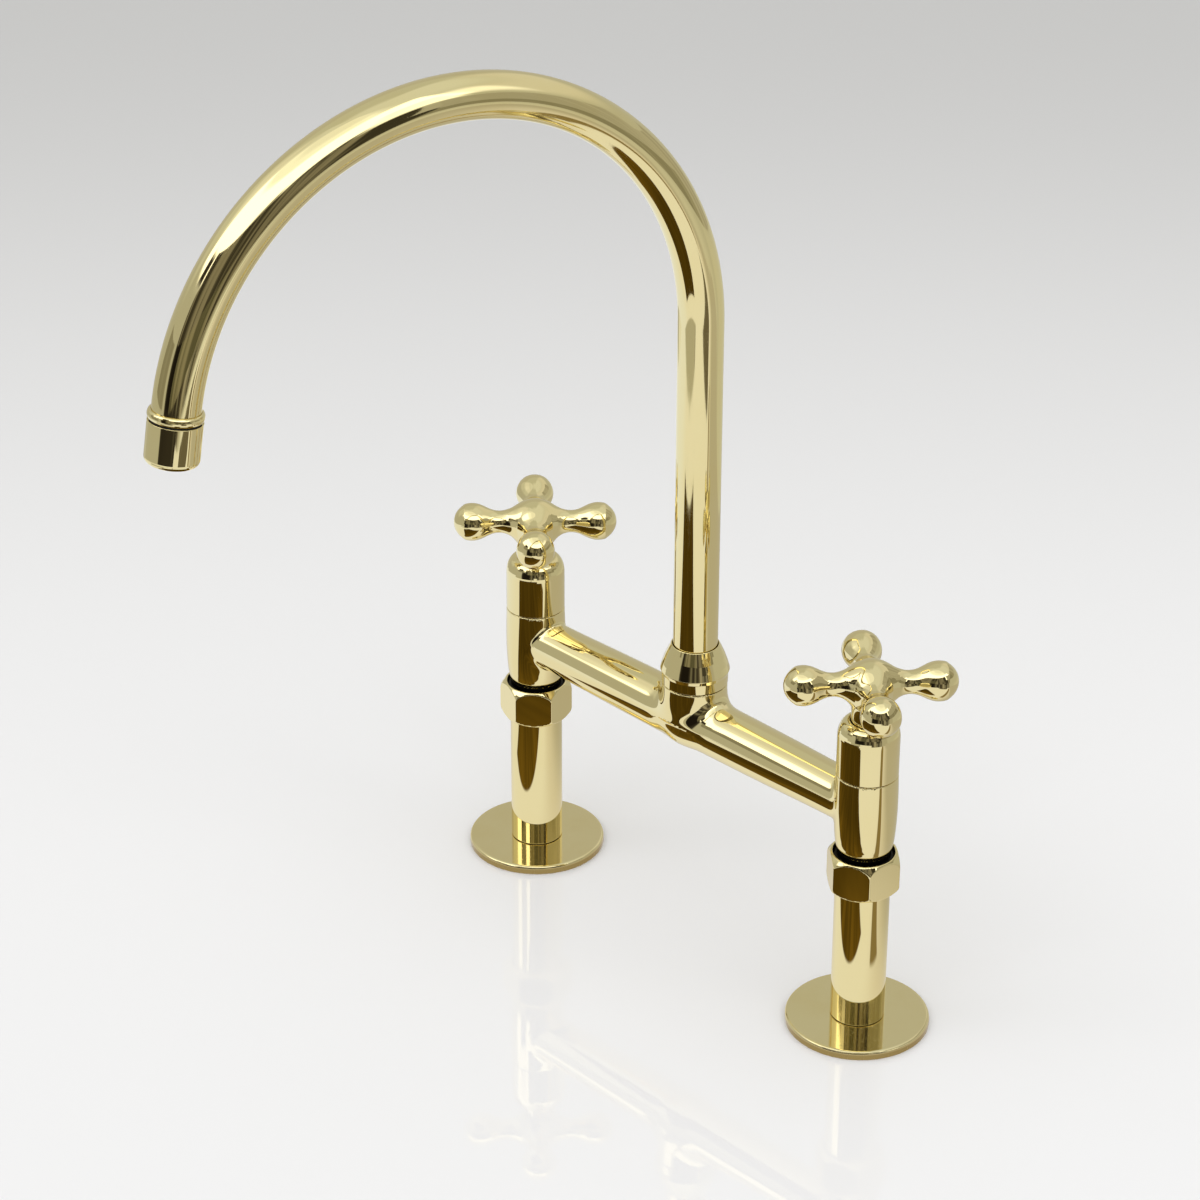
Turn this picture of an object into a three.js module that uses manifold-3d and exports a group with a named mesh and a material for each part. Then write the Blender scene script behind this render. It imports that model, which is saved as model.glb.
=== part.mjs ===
// A deck-mounted bridge kitchen faucet in polished brass, with two cross handles on quarter-turn
// ceramic valves, a cast bridge between the valves and a tall swivelling gooseneck spout.
//
// Frame: millimetres, +Z up. The origin is on the worktop, midway between the two legs. The hot side
// is -X, the cold side is +X, and the front, where the user stands, is -Y.
import * as THREE from "three";
import { mergeVertices, toCreasedNormals } from "three/addons/utils/BufferGeometryUtils.js";
import Module from "manifold-3d";

// ---------------------------------------------------------------- driving dimensions: whole faucet
const LEG_CENTRES = 203.2; // hot leg to cold leg, 8 in
const FIT = 0.3; // gap between pieces that touch, and between mating threads
const PAST = 1; // how far a cutter reaches past what it cuts
const WORKTOP = 30; // thickness of the worktop that the washers below clamp

// Flange and leg
const FLANGE_RADIUS = 31.2;
const FLANGE_THICKNESS = 4;
const FLANGE_ROUND = 1.5; // radius of its upper edge
const GASKET_RADIUS = 21.7;
const GASKET_THICKNESS = 1.3;
const LEG_RADIUS = 11.8;
const LEG_LENGTH = 74.7; // from the flange to the leg's upper face
const WATERWAY_RADIUS = 6.5; // bore of the legs and of the bridge's arms
const COLLAR_RADIUS = 12.9; // of the leg's collar, of the washer on it and of the thread above it
const COLLAR_THICKNESS = 3;

// Shank, washers and locknut below the worktop
const SHANK_RADIUS = 10.3;
const SHANK_DROP = 60;
const SHANK_CHAMFER = 1;
const CLAMP_RADIUS = 20;
const RUBBER_THICKNESS = 2;
const CLAMP_THICKNESS = 1.5;
const LOCKNUT_FLATS = 32;
const LOCKNUT_HEIGHT = 8;
const LOCKNUT_CORNER = 0.5; // how far its corners are turned down

// Union nut between leg and bridge
const UNION_FLATS = 28.6; // across flats
const UNION_CORNER_RADIUS = 16.1; // the corners are turned down to this
const UNION_HEIGHT = 18.5;
const UNION_LIP = 8.2; // solid part below the collar
const UNION_CHAMFER = 6; // height of the chamfer above
const UNION_RIM = 0.4; // width of the flat face above
const UNION_ROUND = 6.5; // height of the rounding below
const UNION_FOOT = 0.6; // width of the flat face below
const HOT_NUT_TURN = -47.7; // where one flat faces, in degrees from +X
const COLD_NUT_TURN = -7.8;

// Bridge casting
const TAIL_THREAD = 2.7; // height of the thread under each barrel
const TAIL_RELIEF = 2.9; // height of the groove above that thread
const RELIEF_RADIUS = 11.2;
const AXIS_ABOVE_TAIL = 26.1; // the arms' axis above the tail's lower face
const BARREL_RADIUS = 13.15; // at its upper rim
const BARREL_BELLY = 0.25; // how far it swells below the rim
const BARREL_ROUND = 3.5; // height of the guide that rounds its lower end
const BARREL_ABOVE_AXIS = 16.3;
const ARM_END_RADIUS = 10.9;
const ARM_MIDDLE_RADIUS = 12;
const BOSS_RADIUS = 14.2;
const BOSS_ABOVE_AXIS = 18.9;
const BOSS_FILLET = 4;
const BOSS_BOWL = 12.9; // how far its rounded underside reaches below the axis
const BOSS_THREAD_RADIUS = 12.1;
const BOSS_THREAD_HEIGHT = 4.4;
const SOCKET_RADIUS = 9.7; // bore in the boss for the spout's spigot

// Valve
const CARTRIDGE_RADIUS = 10.1; // its thread
const SKIRT_RADIUS = 9.5;
const SKIRT_WALL = 1;
const CARTRIDGE_FLANGE_RADIUS = 11.3;
const CARTRIDGE_FLANGE_SINK = 2.7; // how deep the flange sits in the barrel
const CARTRIDGE_FLANGE_HEIGHT = 5.2;
const CARTRIDGE_SHOULDER = 2; // its plain skirt above the stem's foot
const CARTRIDGE_CHAMFER = 0.6;
const GLAND_RADIUS = 7;
const GLAND_HEIGHT = 11.5;
const SEAT_BELOW_AXIS = 10.7;
const SEAL_THICKNESS = 2.2;
const FIXED_DISC_THICKNESS = 3;
const MOVING_DISC_THICKNESS = 4;
const PORT_ANGLE = 80; // of each of the two ports in a fixed disc
const PORT_INNER = 3; // where a port starts, from the axis
const PORT_LAND = 1.3; // width of ceramic outside a port
const PORT_OVERLAP = 6; // degrees by which the moving disc covers a shut port
const MOVING_HUB_RADIUS = 3.4;
const STEM_RADIUS = 4.2;
const STEM_CLEARANCE = 0.4;
const STEM_BELOW_PLANE = 5.7; // its upper end, below the cross's plane
const STEM_FOOT_RADIUS = 7.9;
const STEM_FOOT_THICKNESS = 1.9;
const TANG_LENGTH = 8.4;
const TANG_WIDTH = 2.6;
const SPLINE_TEETH = 10;
const SPLINE_DEPTH = 0.4;
const CIRCLIP_THICKNESS = 1;
const CIRCLIP_WIDTH = 2.4;
const CIRCLIP_GROOVE = 1; // depth of its groove in the stem
const CIRCLIP_GAP = 35; // half of its opening, in degrees
const O_RING_SECTION = 1.3; // diameter of a stem's O-ring
const O_RING_BELOW_GLAND = 5;
const GROOVE_PLAY = 0.1; // between a ring and its groove, on each side

// Bonnet and handle
const BONNET_WALL = 1.5;
const BONNET_STRAIGHT = 17.7; // straight side above the barrel
const BONNET_DOME = 7.3; // height of the rounded shoulder
const BONNET_DOME_WIDTH = 4.4; // how far the shoulder comes in
const NECK_RADIUS = 7.7;
const NECK_CLEARANCE = 0.4;
const NECK_SINK = 5.5; // how far the handle's neck goes down into the bonnet
const HANDLE_ABOVE_AXIS = 59; // the cross's plane above the arms' axis
const HUB_RADIUS = 11.3;
const HUB_DOME = 11.3; // dome's top above the cross's plane
const HUB_BULGE = 0.6; // how far the guides of its outline stand in or out
const SPOKE_REACH = 28.2; // from the stem's axis to the centre of a ball
const BALL_RADIUS = 8.2;
const SPOKE_RADIUS = 4.9; // at its thinnest
const SPOKE_WAIST = 15.4; // where it is thinnest
const SPOKE_ROOT = 9.4; // its radius inside the hub
const SPOKE_GUIDE = 9.1; // where the guide of its flare stands
const SPOKE_JOINT = 130; // where it meets the ball, in degrees from the ball's far pole
const HOT_HANDLE_TURN = 47.5; // of one spoke, in degrees from +X
const COLD_HANDLE_TURN = 50.5;
const GRUB_SCREW_RADIUS = 1.9;
const GRUB_SCREW_LENGTH = 2.5;
const GRUB_SCREW_ABOVE_BONNET = 3.6;
const GRUB_SOCKET_FLATS = 2;
const GRUB_SOCKET_DEPTH = 1.5;

// Spout
const SPOUT_TURN = -101.8; // where the spout points at rest, in degrees from +X
const TUBE_RADIUS = 9.75;
const TUBE_WALL = 1.2;
const SPOUT_NUT_HEIGHT = 18.5;
const SPOUT_NUT_RADIUS = 15.1;
const SPOUT_NUT_BAND = 6; // height of its cylindrical band
const SPOUT_NUT_STEP = 1.2; // height of the step from the band to the dome
const SPOUT_NUT_GUIDE = 6; // height of the guide that rounds its dome
const SPOUT_NUT_LIP = 10.5; // radius of its upper edge
const RISER_LENGTH = 151.1; // straight tube above the nut
const BEND_RADIUS = 120;
const BEND_ANGLE = 171.2;
const BEND_STEPS = 18;
const SPIGOT_RADIUS = 9.3;
const SPIGOT_BORE = 6.5;
const SPIGOT_COLLAR_RADIUS = 11.8;
const SPIGOT_COLLAR_HEIGHT = 2.7;
const SPIGOT_DEPTH = 16; // below the boss's upper face
const SPIGOT_O_RING_SECTION = 1.5;
const SPIGOT_O_RINGS = [4, 11]; // below the boss's upper face
const SLIP_RING_THICKNESS = 1.4;

// Outlet: heights are counted down the tube from the end of its bend
const BEAD_RADIUS = 11.1;
const BEAD_HEIGHT = 3.8;
const NIPPLE_RADIUS = 9.3;
const NIPPLE_BORE = 7;
const NIPPLE_LENGTH = 5;
const BEAD_ABOVE_BEND = 0.4; // the bead's upper edge, above the end of the bend
const OUTLET_WASHER_THICKNESS = 0.8;
const AERATOR_RADIUS = 11;
const AERATOR_LENGTH = 16.8;
const AERATOR_ROUND = 3; // radius of its lower edge
const AERATOR_CHAMFER = 0.5;
const OUTLET_RADIUS = 8.2;
const OUTLET_LEDGE = 1.5; // thickness of the inner ledge that carries the screen
const OUTLET_PLAY = 0.2; // between the rings that are stacked in the outlet
const AERATOR_SEAL_THICKNESS = 0.8;
const INSERT_HEIGHT = 6.5;
const INSERT_WALL = 2;
const INSERT_PLATE = 2; // thickness of its pierced plate
const INSERT_HOLES = [[8, 4.6]]; // how many holes, and how far out they are
const INSERT_HOLE = 1.2; // from a hole's centre to its corner
const SCREEN_THICKNESS = 0.6;
const SCREEN_HOLES = [[6, 2.6], [10, 5.8]];
const SCREEN_HOLE = 1.1;

// Facets round a circle
const FLANGE_SIDES = 26;
const BODY_SIDES = 18;
const TUBE_SIDES = 16;
const INNER_SIDES = 12;
const SPOKE_SIDES = 10;
const O_RING_SIDES = 5; // of its section

// ------------------------------------------------------------------------------- derived heights
const legShoulder = FLANGE_THICKNESS + FIT;
const legTop = legShoulder + LEG_LENGTH;
const tailBottom = legTop + RUBBER_THICKNESS + 2 * FIT;
const bridgeAxis = tailBottom + AXIS_ABOVE_TAIL;
const barrelTop = bridgeAxis + BARREL_ABOVE_AXIS;
const seatTop = bridgeAxis - SEAT_BELOW_AXIS;
const bossTop = bridgeAxis + BOSS_ABOVE_AXIS;
const bossThreadTop = bossTop + BOSS_THREAD_HEIGHT;
const handlePlane = bridgeAxis + HANDLE_ABOVE_AXIS;
const spoutNutTop = bossTop + FIT + SPOUT_NUT_HEIGHT;
const bendStart = spoutNutTop + RISER_LENGTH;

// Valve stack, from the seat up
const sealBottom = seatTop + FIT;
const fixedDiscBottom = sealBottom + SEAL_THICKNESS + FIT;
const movingDiscBottom = fixedDiscBottom + FIXED_DISC_THICKNESS + FIT;
const stemFootBottom = movingDiscBottom + MOVING_DISC_THICKNESS + FIT;
const stemFootTop = stemFootBottom + STEM_FOOT_THICKNESS;
const cartridgeFlangeBottom = barrelTop - CARTRIDGE_FLANGE_SINK + FIT;
const cartridgeFlangeTop = cartridgeFlangeBottom + CARTRIDGE_FLANGE_HEIGHT;
const glandTop = cartridgeFlangeTop + GLAND_HEIGHT;
const circlipBottom = glandTop + FIT;
const bonnetBottom = barrelTop + FIT;
const bonnetShoulder = bonnetBottom + BONNET_STRAIGHT;
const bonnetTop = bonnetShoulder + BONNET_DOME;
const neckBottom = bonnetTop - NECK_SINK;
const stemTop = handlePlane - STEM_BELOW_PLANE;
const grubScrewHeight = bonnetTop + GRUB_SCREW_ABOVE_BONNET;
const discRadius = SKIRT_RADIUS - SKIRT_WALL - FIT;
const stemHole = STEM_RADIUS + STEM_CLEARANCE;

// Spout joint, from the boss's upper face up
const spigotCollarBottom = bossThreadTop + FIT;
const spigotCollarTop = spigotCollarBottom + SPIGOT_COLLAR_HEIGHT;
const slipRingBottom = spigotCollarTop + FIT;
const spoutNutShelf = slipRingBottom + SLIP_RING_THICKNESS + FIT;

// ------------------------------------------------------------------------------------- materials
const polished = (color, roughness) =>
  new THREE.MeshStandardMaterial({ color, roughness, metalness: 1 });
const plain = (color, roughness) =>
  new THREE.MeshStandardMaterial({ color, roughness, metalness: 0 });
const BRASS = polished(0xd9bd6b, 0.08);
const STEEL = polished(0xb9bbbd, 0.3);
const RUBBER = plain(0x151515, 0.7);
const CERAMIC = plain(0xf1eee6, 0.25);
const NYLON = plain(0xe6e5df, 0.45);

// ----------------------------------------------------------------------------- solids and helpers
const wasm = await Module();
wasm.setup();
const radians = THREE.MathUtils.degToRad;

// A closed geometry as a solid: shared corners are merged, empty faces dropped, and a surface that
// was drawn the other way round is turned so that its faces point out.
function solid(geometry) {
  const bare = new THREE.BufferGeometry();
  bare.setAttribute("position", geometry.getAttribute("position"));
  bare.setIndex(geometry.getIndex());
  const merged = mergeVertices(bare, 1e-4);
  const corners = merged.getAttribute("position").array;
  const index = merged.getIndex().array;
  const faces = [];
  let volume = 0;
  for (let i = 0; i < index.length; i += 3) {
    const [a, b, c] = [index[i], index[i + 1], index[i + 2]];
    if (a === b || b === c || c === a) continue;
    faces.push(a, b, c);
    const [p, q, r] = [a, b, c].map((k) => new THREE.Vector3().fromArray(corners, 3 * k));
    volume += p.dot(q.cross(r)) / 6;
  }
  if (volume < 0) faces.reverse();
  return new wasm.Manifold(
    new wasm.Mesh({ numProp: 3, vertProperties: corners, triVerts: Uint32Array.from(faces) }),
  );
}

// A solid as a named mesh, with smooth shading across all but sharp edges.
function piece(name, body, material) {
  const { vertProperties, triVerts } = body.getMesh();
  const geometry = new THREE.BufferGeometry();
  geometry.setAttribute("position", new THREE.BufferAttribute(vertProperties, 3));
  geometry.setIndex(new THREE.BufferAttribute(triVerts, 1));
  const mesh = new THREE.Mesh(toCreasedNormals(geometry, radians(35)), material);
  mesh.name = name;
  return mesh;
}

// An outline turned about Z. Its points are [radius, height], and a point may be an array of
// points, such as an arc's.
function revolve(outline, sides = BODY_SIDES) {
  const points = outline.flatMap((p) => (Array.isArray(p[0]) ? p : [p]));
  const profile = [...points, points[0]].map(([r, z]) => new THREE.Vector2(Math.max(r, 0), z));
  return solid(new THREE.LatheGeometry(profile, sides).rotateX(Math.PI / 2));
}

// Points of an elliptical arc about [r, z], from one angle to another in degrees.
function arc(r, z, radiusR, radiusZ, from, to, steps = 4) {
  return Array.from({ length: steps + 1 }, (_, i) => {
    const t = radians(from + ((to - from) * i) / steps);
    return [r + radiusR * Math.cos(t), z + radiusZ * Math.sin(t)];
  });
}

// Points of a quadratic curve from a to c, drawn towards b, without a itself.
function sweep(a, b, c, steps = 4) {
  return Array.from({ length: steps }, (_, i) => {
    const t = (i + 1) / steps;
    return [0, 1].map((k) => a[k] * (1 - t) ** 2 + 2 * b[k] * t * (1 - t) + c[k] * t * t);
  });
}

// A ring of rectangular section, and a plain cylinder.
const ring = (inner, outer, low, high) =>
  revolve([[inner, low], [outer, low], [outer, high], [inner, high]]);
const rod = (radius, low, high, sides = INNER_SIDES) =>
  revolve([[0, low], [radius, low], [radius, high], [0, high]], sides);

// A flat shape raised from one height to another.
function slab(shape, low, high, curveSegments = 6) {
  const options = { depth: high - low, bevelEnabled: false, curveSegments };
  return solid(new THREE.ExtrudeGeometry(shape, options).translate(0, 0, low));
}

// A regular polygon as a shape, with one flat facing `turn` degrees from +X.
function polygon(sides, flats, turn = 0) {
  const corner = flats / 2 / Math.cos(Math.PI / sides);
  return new THREE.Shape(
    Array.from({ length: sides }, (_, i) => {
      const t = radians(turn) + (2 * Math.PI * (i + 0.5)) / sides;
      return new THREE.Vector2(corner * Math.cos(t), corner * Math.sin(t));
    }),
  );
}

// A closed surface through rows of points, one row round each section. A row may shrink to a
// point, or `loop` joins the last row to the first.
function skin(rows, loop = false) {
  const sides = rows[0].length;
  const at = (row, i) => (row % rows.length) * sides + (i % sides);
  const faces = [];
  for (let row = 0; row < rows.length - (loop ? 0 : 1); row++) {
    for (let i = 0; i < sides; i++) {
      faces.push(at(row, i), at(row, i + 1), at(row + 1, i + 1));
      faces.push(at(row, i), at(row + 1, i + 1), at(row + 1, i));
    }
  }
  const geometry = new THREE.BufferGeometry();
  geometry.setAttribute("position", new THREE.Float32BufferAttribute(rows.flat(2), 3));
  geometry.setIndex(faces);
  return solid(geometry);
}

// --------------------------------------------------------------------- leg, flange and fastenings
function flange() {
  const recess = GASKET_RADIUS + FIT;
  const recessTop = GASKET_THICKNESS + FIT;
  const edge = FLANGE_RADIUS - FLANGE_ROUND;
  return revolve(
    [
      [SHANK_RADIUS + FIT, recessTop],
      [recess, recessTop],
      [recess, 0],
      [FLANGE_RADIUS, 0],
      arc(edge, FLANGE_THICKNESS - FLANGE_ROUND, FLANGE_ROUND, FLANGE_ROUND, 0, 90, 2),
      [SHANK_RADIUS + FIT, FLANGE_THICKNESS],
    ],
    FLANGE_SIDES,
  );
}

function leg() {
  const outside = revolve([
    [0, -SHANK_DROP],
    [SHANK_RADIUS - SHANK_CHAMFER, -SHANK_DROP],
    [SHANK_RADIUS, SHANK_CHAMFER - SHANK_DROP],
    [SHANK_RADIUS, legShoulder],
    [LEG_RADIUS, legShoulder],
    [LEG_RADIUS, legTop - COLLAR_THICKNESS],
    [COLLAR_RADIUS, legTop - COLLAR_THICKNESS],
    [COLLAR_RADIUS, legTop],
    [0, legTop],
  ]);
  return outside.subtract(rod(WATERWAY_RADIUS, -SHANK_DROP - PAST, legTop + PAST));
}

function locknut(top) {
  const bottom = top - LOCKNUT_HEIGHT;
  const corner = LOCKNUT_FLATS / 2 / Math.cos(Math.PI / 6);
  const body = slab(polygon(6, LOCKNUT_FLATS), bottom, top);
  const turned = rod(corner - LOCKNUT_CORNER, bottom - PAST, top + PAST, BODY_SIDES);
  const hole = rod(SHANK_RADIUS + FIT, bottom - PAST, top + PAST, BODY_SIDES);
  return body.intersect(turned).subtract(hole);
}

// Hexagonal above, turned to a deep round below where it closes on the leg.
function unionNut(turn) {
  const shelf = legTop - COLLAR_THICKNESS - FIT;
  const bottom = shelf - UNION_LIP;
  const top = bottom + UNION_HEIGHT;
  const round = UNION_CORNER_RADIUS;
  const foot = LEG_RADIUS + FIT;
  const bore = COLLAR_RADIUS + FIT;
  const hexagon = slab(polygon(6, UNION_FLATS, turn), bottom, top);
  const turned = revolve([
    [0, bottom],
    [foot + UNION_FOOT, bottom],
    sweep([foot + UNION_FOOT, bottom], [round, bottom + UNION_FOOT], [round, bottom + UNION_ROUND], 3),
    [round, top - UNION_CHAMFER],
    [bore + UNION_RIM, top],
    [0, top],
  ]);
  const inside = revolve([
    [0, bottom - PAST],
    [foot, bottom - PAST],
    [foot, shelf],
    [bore, shelf],
    [bore, top + PAST],
    [0, top + PAST],
  ]);
  return hexagon.intersect(turned).subtract(inside);
}

// ---------------------------------------------------------------------------------- bridge casting
function barrel() {
  const rounded = tailBottom + TAIL_THREAD + TAIL_RELIEF;
  const widest = BARREL_RADIUS + BARREL_BELLY;
  return revolve([
    [0, tailBottom],
    [COLLAR_RADIUS, tailBottom],
    [COLLAR_RADIUS, tailBottom + TAIL_THREAD],
    [RELIEF_RADIUS, tailBottom + TAIL_THREAD],
    [RELIEF_RADIUS, rounded],
    sweep([RELIEF_RADIUS, rounded], [widest, rounded + BARREL_ROUND], [widest, bridgeAxis], 3),
    [widest, bridgeAxis + BARREL_ABOVE_AXIS / 2],
    [BARREL_RADIUS, barrelTop],
    [0, barrelTop],
  ]);
}

function barrelBore() {
  return revolve(
    [
      [0, seatTop],
      [CARTRIDGE_RADIUS + FIT, seatTop],
      [CARTRIDGE_RADIUS + FIT, barrelTop - CARTRIDGE_FLANGE_SINK],
      [CARTRIDGE_FLANGE_RADIUS + FIT, barrelTop - CARTRIDGE_FLANGE_SINK],
      [CARTRIDGE_FLANGE_RADIUS + FIT, barrelTop + PAST],
      [0, barrelTop + PAST],
    ],
    BODY_SIDES,
  );
}

// Both arms in one turned body along X, tapering from the middle to the barrels' axes.
function arms() {
  const end = LEG_CENTRES / 2;
  const outline = [
    [0, -end],
    [ARM_END_RADIUS, -end],
    [ARM_MIDDLE_RADIUS, -BOSS_RADIUS],
    [ARM_MIDDLE_RADIUS, BOSS_RADIUS],
    [ARM_END_RADIUS, end],
    [0, end],
  ];
  return revolve(outline).rotate([0, 90, 0]).translate([0, 0, bridgeAxis]);
}

// The boss under the spout: round at the top, spreading along the arms in a saddle-shaped fillet,
// and closed by a shallow bowl below. Radius at an angle from X: boss + fillet(height) * cos^4.
function boss() {
  const armTop = bridgeAxis + ARM_MIDDLE_RADIUS;
  const filletTop = armTop + BOSS_FILLET;
  const fillet = (z) => {
    const rise = THREE.MathUtils.clamp(filletTop - z, 0, BOSS_FILLET);
    return BOSS_FILLET - Math.sqrt(BOSS_FILLET ** 2 - rise ** 2);
  };
  const below = [75, 50, 25, 0].map((t) => bridgeAxis - BOSS_BOWL * Math.sin(radians(t)));
  const above = [0, 0.45, 0.8, 1].map((t) => armTop + BOSS_FILLET * t);
  const heights = [...below, bridgeAxis + ARM_MIDDLE_RADIUS / 2, ...above, bossTop];
  const point = (z) => Array.from({ length: BODY_SIDES }, () => [0, 0, z]);
  const rows = heights.map((z) => {
    const drop = Math.max(0, bridgeAxis - z) / BOSS_BOWL;
    return Array.from({ length: BODY_SIDES }, (_, i) => {
      const t = (2 * Math.PI * i) / BODY_SIDES;
      const r = Math.sqrt(1 - drop ** 2) * (BOSS_RADIUS + fillet(z) * Math.cos(t) ** 4);
      return [r * Math.cos(t), r * Math.sin(t), z];
    });
  });
  return skin([point(bridgeAxis - BOSS_BOWL), ...rows, point(bossTop)]);
}

function bridgeBody() {
  const half = LEG_CENTRES / 2;
  const waterway = rod(WATERWAY_RADIUS, -half, half).rotate([0, 90, 0]).translate([0, 0, bridgeAxis]);
  const thread = rod(BOSS_THREAD_RADIUS, bossTop - PAST, bossThreadTop, BODY_SIDES);
  let body = arms().add(boss()).add(thread);
  let hollow = waterway.add(rod(SOCKET_RADIUS, bridgeAxis, bossThreadTop + PAST, BODY_SIDES));
  for (const x of [-half, half]) {
    const inlet = rod(WATERWAY_RADIUS, tailBottom - PAST, seatTop + PAST);
    body = body.add(barrel().translate([x, 0, 0]));
    hollow = hollow.add(barrelBore().add(inlet).translate([x, 0, 0]));
  }
  return body.subtract(hollow);
}

// ------------------------------------------------------------------------------------------- valve
// A circle with two opposite sectors removed (ports) or kept (a bow tie), `open` degrees wide each.
function sectorPath(inner, outer, middle, open, Type) {
  const path = new Type();
  const [low, high] = [radians(middle - open / 2), radians(middle + open / 2)];
  path.absarc(0, 0, outer, low, high, false);
  path.absarc(0, 0, inner, high, low, true);
  path.closePath();
  return path;
}

function fixedDisc() {
  const disc = new THREE.Shape().absarc(0, 0, discRadius, 0, 2 * Math.PI, false);
  disc.holes = [90, 270].map((t) =>
    sectorPath(PORT_INNER, discRadius - PORT_LAND, t, PORT_ANGLE, THREE.Path),
  );
  return slab(disc, fixedDiscBottom, fixedDiscBottom + FIXED_DISC_THICKNESS, 3);
}

function movingDisc() {
  const half = (PORT_ANGLE + PORT_OVERLAP) / 2;
  const shape = new THREE.Shape();
  for (const t of [90, 270]) {
    shape.absarc(0, 0, discRadius, radians(t - half), radians(t + half), false);
    shape.absarc(0, 0, MOVING_HUB_RADIUS, radians(t + half), radians(t + 180 - half), false);
  }
  const [x, y] = [TANG_WIDTH / 2 + FIT, TANG_LENGTH / 2 + FIT];
  const slot = [[-x, -y], [x, -y], [x, y], [-x, y]].map((p) => new THREE.Vector2(...p));
  shape.holes = [new THREE.Path(slot)];
  return slab(shape, movingDiscBottom, movingDiscBottom + MOVING_DISC_THICKNESS, 3);
}

function cartridgeBody() {
  const skirtBottom = sealBottom + SKIRT_WALL;
  const shoulder = stemFootTop + CARTRIDGE_SHOULDER;
  const outside = revolve(
    [
      [0, skirtBottom],
      [SKIRT_RADIUS, skirtBottom],
      [SKIRT_RADIUS, shoulder],
      [CARTRIDGE_RADIUS, shoulder + CARTRIDGE_CHAMFER],
      [CARTRIDGE_RADIUS, cartridgeFlangeBottom],
      [CARTRIDGE_FLANGE_RADIUS, cartridgeFlangeBottom],
      [CARTRIDGE_FLANGE_RADIUS, cartridgeFlangeTop],
      [GLAND_RADIUS, cartridgeFlangeTop],
      [GLAND_RADIUS, glandTop],
      [0, glandTop],
    ],
    INNER_SIDES,
  );
  const inside = revolve([
    [0, sealBottom],
    [SKIRT_RADIUS - SKIRT_WALL, sealBottom],
    [SKIRT_RADIUS - SKIRT_WALL, stemFootTop + FIT],
    [stemHole, stemFootTop + FIT],
    [stemHole, glandTop + PAST],
    [0, glandTop + PAST],
  ]);
  const window = new THREE.BoxGeometry(3 * SKIRT_RADIUS, SKIRT_RADIUS, MOVING_DISC_THICKNESS + PAST);
  window.translate(0, 0, movingDiscBottom + MOVING_DISC_THICKNESS / 2);
  return outside.subtract(inside).subtract(solid(window));
}

// A star of teeth, as on the stem's upper end and, `wider`, in the handle's socket.
function splines(low, high, wider = 0) {
  const points = Array.from({ length: 2 * SPLINE_TEETH }, (_, i) => {
    const r = STEM_RADIUS - (i % 2 ? SPLINE_DEPTH : 0) + wider;
    const t = (Math.PI * i) / SPLINE_TEETH;
    return new THREE.Vector2(r * Math.cos(t), r * Math.sin(t));
  });
  return slab(new THREE.Shape(points), low, high);
}

const stemGroove = glandTop - O_RING_BELOW_GLAND;

function stem() {
  const grooveFloor = STEM_RADIUS - O_RING_SECTION;
  const half = O_RING_SECTION / 2 + 2 * GROOVE_PLAY;
  const clipFloor = STEM_RADIUS - CIRCLIP_GROOVE;
  const [clipLow, clipHigh] = [circlipBottom - GROOVE_PLAY, circlipBottom + CIRCLIP_THICKNESS + GROOVE_PLAY];
  const shaft = revolve([
    [0, stemFootBottom],
    [STEM_FOOT_RADIUS, stemFootBottom],
    [STEM_FOOT_RADIUS, stemFootTop],
    [STEM_RADIUS, stemFootTop],
    [STEM_RADIUS, stemGroove - half],
    [grooveFloor, stemGroove - half],
    [grooveFloor, stemGroove + half],
    [STEM_RADIUS, stemGroove + half],
    [STEM_RADIUS, clipLow],
    [clipFloor, clipLow],
    [clipFloor, clipHigh],
    [STEM_RADIUS, clipHigh],
    [STEM_RADIUS, neckBottom - PAST],
    [0, neckBottom - PAST],
  ], INNER_SIDES);
  const tang = new THREE.BoxGeometry(TANG_WIDTH, TANG_LENGTH, MOVING_DISC_THICKNESS);
  tang.translate(0, 0, stemFootBottom + FIT - MOVING_DISC_THICKNESS / 2);
  return shaft.add(solid(tang)).add(splines(neckBottom - 2 * PAST, stemTop));
}

// Rubber ring of round section.
function oRing(radius, section, height, sides = INNER_SIDES) {
  const half = 180 / O_RING_SIDES;
  const round = arc(radius, height, section / 2, section / 2, half, 360 - half, O_RING_SIDES - 1);
  return revolve([round], sides);
}

function circlip() {
  const inner = STEM_RADIUS - CIRCLIP_GROOVE + GROOVE_PLAY;
  const [from, to] = [radians(CIRCLIP_GAP), radians(360 - CIRCLIP_GAP)];
  const shape = new THREE.Shape();
  shape.absarc(0, 0, inner + CIRCLIP_WIDTH, from, to, false);
  shape.absarc(0, 0, inner, to, from, true);
  return slab(shape, circlipBottom, circlipBottom + CIRCLIP_THICKNESS, 6);
}

// -------------------------------------------------------------------------------- bonnet and handle
function bonnet() {
  const shoulder = BARREL_RADIUS - BONNET_DOME_WIDTH;
  const wall = BARREL_RADIUS - BONNET_WALL;
  const hole = NECK_RADIUS + NECK_CLEARANCE;
  return revolve([
    [wall, bonnetBottom],
    [BARREL_RADIUS, bonnetBottom],
    arc(shoulder, bonnetShoulder, BONNET_DOME_WIDTH, BONNET_DOME, 0, 90, 4),
    [hole, bonnetTop],
    [hole, bonnetTop - BONNET_WALL],
    [shoulder, bonnetTop - BONNET_WALL],
    [wall, bonnetShoulder],
  ]);
}

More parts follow.
